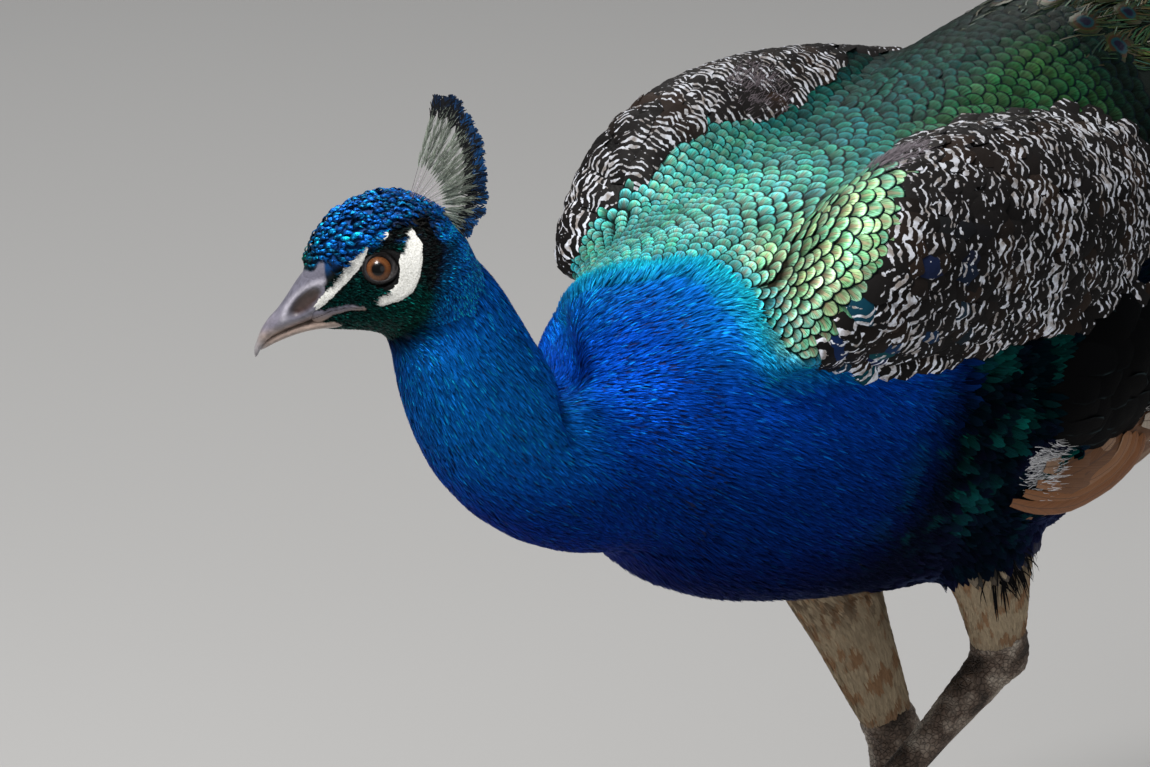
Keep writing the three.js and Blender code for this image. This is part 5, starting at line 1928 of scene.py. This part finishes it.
# the long barbs at the sides and at the end
number = train["sideBarbs"]
edgeRun = rng.uniform(60, trainLong - 40, number)
edgeSide = np.where(rng.random(number) < 0.5, -1.0, 1.0)
barbsAlong(edgeRun, edgeSide * (halfAt(edgeRun) - 10), edgeSide, rng.uniform(22, 42, number),
           np.full(number, 1.5),
           radians(30) * rng.uniform(0.4, 1.1, number), greens[rng.integers(0, 4, number)] * 0.8,
           rng.uniform(0, 2, number))
number = train["endBarbs"]
tailRuns = trainLong - rng.uniform(10, 150, number)
tailYs = rng.uniform(-1, 1, number) * (halfAt(tailRuns) - 4)
barbsAlong(tailRuns, tailYs, np.where(rng.random(number) < 0.5, -1.0, 1.0), rng.uniform(25, 48, number),
           np.full(number, 1.7), radians(26) * rng.uniform(0.2, 1.2, number),
           greens[rng.integers(0, 4, number)] * 0.9, rng.uniform(0.5, 3, number))
# two crossed vanes for the shaft of each eye
for flat in (0, 1):
    t = np.linspace(0, 1, train["shaftRows"])[None]
    runs = np.maximum(eyeRun - eyeWide * 7, 2)[:, None] * (1 - t) + (eyeRun + eyeWide * 0.2)[:, None] * t
    ys = eyeY[:, None] * (halfAt(runs) / halfAt(eyeRun)[:, None])
    line, up = trainBed(runs, ys), bedUp(runs, ys)
    ways = unit(np.gradient(line, axis=1))
    points = vanes(line, up, ways, np.interp(eyeWide, [10, 35], [0.7, 1.6]) / 1000, tapered(0.5),
                   (np.linspace(-1.0, 2.6, train["shaftRows"]) / 1000), 0.0, 2,
                   roll=np.full(len(eyeRun), flat * np.pi / 2))
    aboveFloor(points, 0.0008)
    trainCoat.add(points, evenTone((0.45, 0.42, 0.34), len(eyeRun)), bedMap(eyeRun, eyeY), tapered(0.5))
trainCoat.make(*trainNodes)

# eyes of the train
spotRings, spotAround = 9, 22
ring = np.linspace(0.001, 1, spotRings)[None, :, None]
turn = np.linspace(0, 2 * np.pi, spotAround + 1)[None, None, :]
wavy = 1 + 0.06 * np.sin(turn * 9 + eyeRun[:, None, None]) * (ring > 0.9)
run = eyeRun[:, None, None] + eyeWide[:, None, None] * 0.62 * ring * np.cos(turn) * wavy
y = eyeY[:, None, None] + eyeWide[:, None, None] * 0.5 * ring * np.sin(turn) * wavy
points = trainBed(run, y) + bedUp(run, y) * ((3.4 + 0.9 * (1 - ring**2)) / 1000)[..., None]
aboveFloor(points, 0.001)
piece = makeMesh("train_eyes", points.reshape(-1, 3), vaneGrid(len(eyeRun), spotRings, spotAround + 1))
pointNumber(piece, "ring", np.repeat(np.repeat(ring, len(eyeRun), 0), spotAround + 1, 2).ravel())
heart = np.hypot(ring * np.cos(turn) + 0.10, ring * np.sin(turn) * 0.9) + 0.13 * np.exp(
    -((turn - np.pi) / 0.5) ** 2) * np.minimum(ring * 4, 1)
pointNumber(piece, "heart", np.repeat(heart, len(eyeRun), 0).ravel())
# painted shade on the first eyes
pointNumber(piece, "shade", np.repeat(np.interp(eyeRun, [20, 150, 330], [0.08, 0.12, 1.0]),
                                      spotRings * (spotAround + 1)))
perVane = spotRings * (spotAround + 1)
bake = np.repeat(bedMap(eyeRun, eyeY)[:, None, :], perVane, 1)
shift = np.stack([ring * np.cos(turn), ring * np.sin(turn)], -1).reshape(1, perVane, 2) * 0.006
cornerMap(piece, "OFBake", (bake + shift).reshape(-1, 2))
spotMade = material("trainEye", Metallic=0.5, Roughness=0.33)
ringAttribute = attribute("ring")
heartAttribute = attribute("heart")
wisp = noiseNode(420.0, 2.0)
blur = mathNode("MULTIPLY_ADD", wisp, 0.10, -0.05)
outer = rampNode(mathNode("ADD", ringAttribute, blur), [
    (0.5, (0.23, 0.11, 0.03)), (0.70, (0.30, 0.14, 0.035)), (0.76, (0.24, 0.30, 0.05)),
    (0.84, (0.10, 0.19, 0.05)), (0.90, (0.20, 0.16, 0.04)), (1.0, (0.06, 0.15, 0.05))])
inner = rampNode(mathNode("ADD", heartAttribute, blur), [
    (0.0, (0.012, 0.006, 0.10)), (0.27, (0.012, 0.008, 0.13)), (0.33, (0.0, 0.22, 0.36)),
    (0.46, (0.0, 0.30, 0.34)), (0.52, (0.23, 0.11, 0.03))])
centre = rampNode(ringAttribute, [(0.52, 0.0), (0.62, 1.0)])
paint(timesNode(mixNode(centre, inner, outer), attribute("shade")))
bumpNode(wisp, 0.4, 0.0004)
finishPiece(piece, spotMade, "train_feather")
print("train eyes made")

# the dark layer of quills inside the train, under the loose barbs: its dark tone is partly painted shade
rowsHere = np.arange(0, len(trainX))[trainX > 190]
us = np.linspace(-1, 1, train["bedAcross"])
topRings, lowRings = [], []
for i in rowsHere:
    ys = us * min(trainHalf[i], 172) * 0.97
    top = np.interp(ys, trainY, topZ[i])
    known = ~np.isnan(lowZ[i])
    low = np.interp(ys, trainY[known], lowZ[i][known]) if known.any() else top - 4
    ends = np.sqrt(np.maximum(1 - us**4, 0))
    thick = np.clip(top - low - 2.0, 0.8, 40) * ends
    topRings.append(np.stack([np.full(len(us), trainX[i]), ys, np.maximum(top - 1.6, 1.4)], 1))
    lowRings.append(np.stack([np.full(len(us), trainX[i]), ys, np.maximum(top - 1.8 - thick, 0.4)], 1))
rings = np.concatenate([np.array(topRings), np.array(lowRings)[:, ::-1]], 1)
rings = rings / 1000 + (frameMid, 0, 0)
points, faces = loft(rings)
piece = makeMesh("train_bed", points, facingOut(points - points.mean(0), faces))
bedMade = material("trainBedBrown", Metallic=0.15, Roughness=0.6)
strand = noiseNode(1.0, 4.0, stretched(objectPlace(), (14, 320, 60)))
paint(rampNode(strand, [
    (0.3, (0.010, 0.016, 0.006)), (0.55, (0.035, 0.055, 0.018)), (0.75, (0.075, 0.070, 0.030))]))
bumpNode(strand, 0.8, 0.002)
finishPiece(piece, bedMade, "train_feather")
print("train bed made")

# the true tail, below the train
tailSizes = {"rows": 26, "count": 18, "width": 30, "line": [(286, 470), (400, 421), (540, 346), (672, 272)],
             "spread": (20, 74)}
t = np.linspace(0, 1, tailSizes["rows"])
lineX, lineZ = alongLine(t, [0, 0.3, 0.66, 1], tailSizes["line"]).T
us = np.linspace(-1, 1, tailSizes["count"])
ys = us[:, None] * np.interp(t, [0, 1], tailSizes["spread"])[None]
layer = 3.0 * np.abs(np.arange(tailSizes["count"]) % 2 - 0.5)[:, None]
tailLines = np.stack([np.repeat(lineX[None], len(us), 0) - 26 * (us**2)[:, None] * t[None] ** 2, ys,
                      lineZ[None] - 14 * (us**2)[:, None] * t[None] + layer - 1.5],
                      -1) / 1000 + (frameMid, 0, 0)
tailWays = unit(np.gradient(tailLines, axis=1))
tailUps = unit(np.cross(tailWays, np.cross(np.array((0, 0, 1.0)), tailWays)))
points = vanes(tailLines, tailUps, tailWays, np.full(len(us), tailSizes["width"] / 1000), quill, 0 * t,
               0.002, 7)
tailCoat = Coat("coat_tail", flightMade, "tail_feather")
tailCoat.add(points, evenTone((0.14, 0.10, 0.07), len(us)), evenTone((0.5, 0.5), len(us)), quill, patch=0.03)
tailCoat.make("tail")
print("tail made")
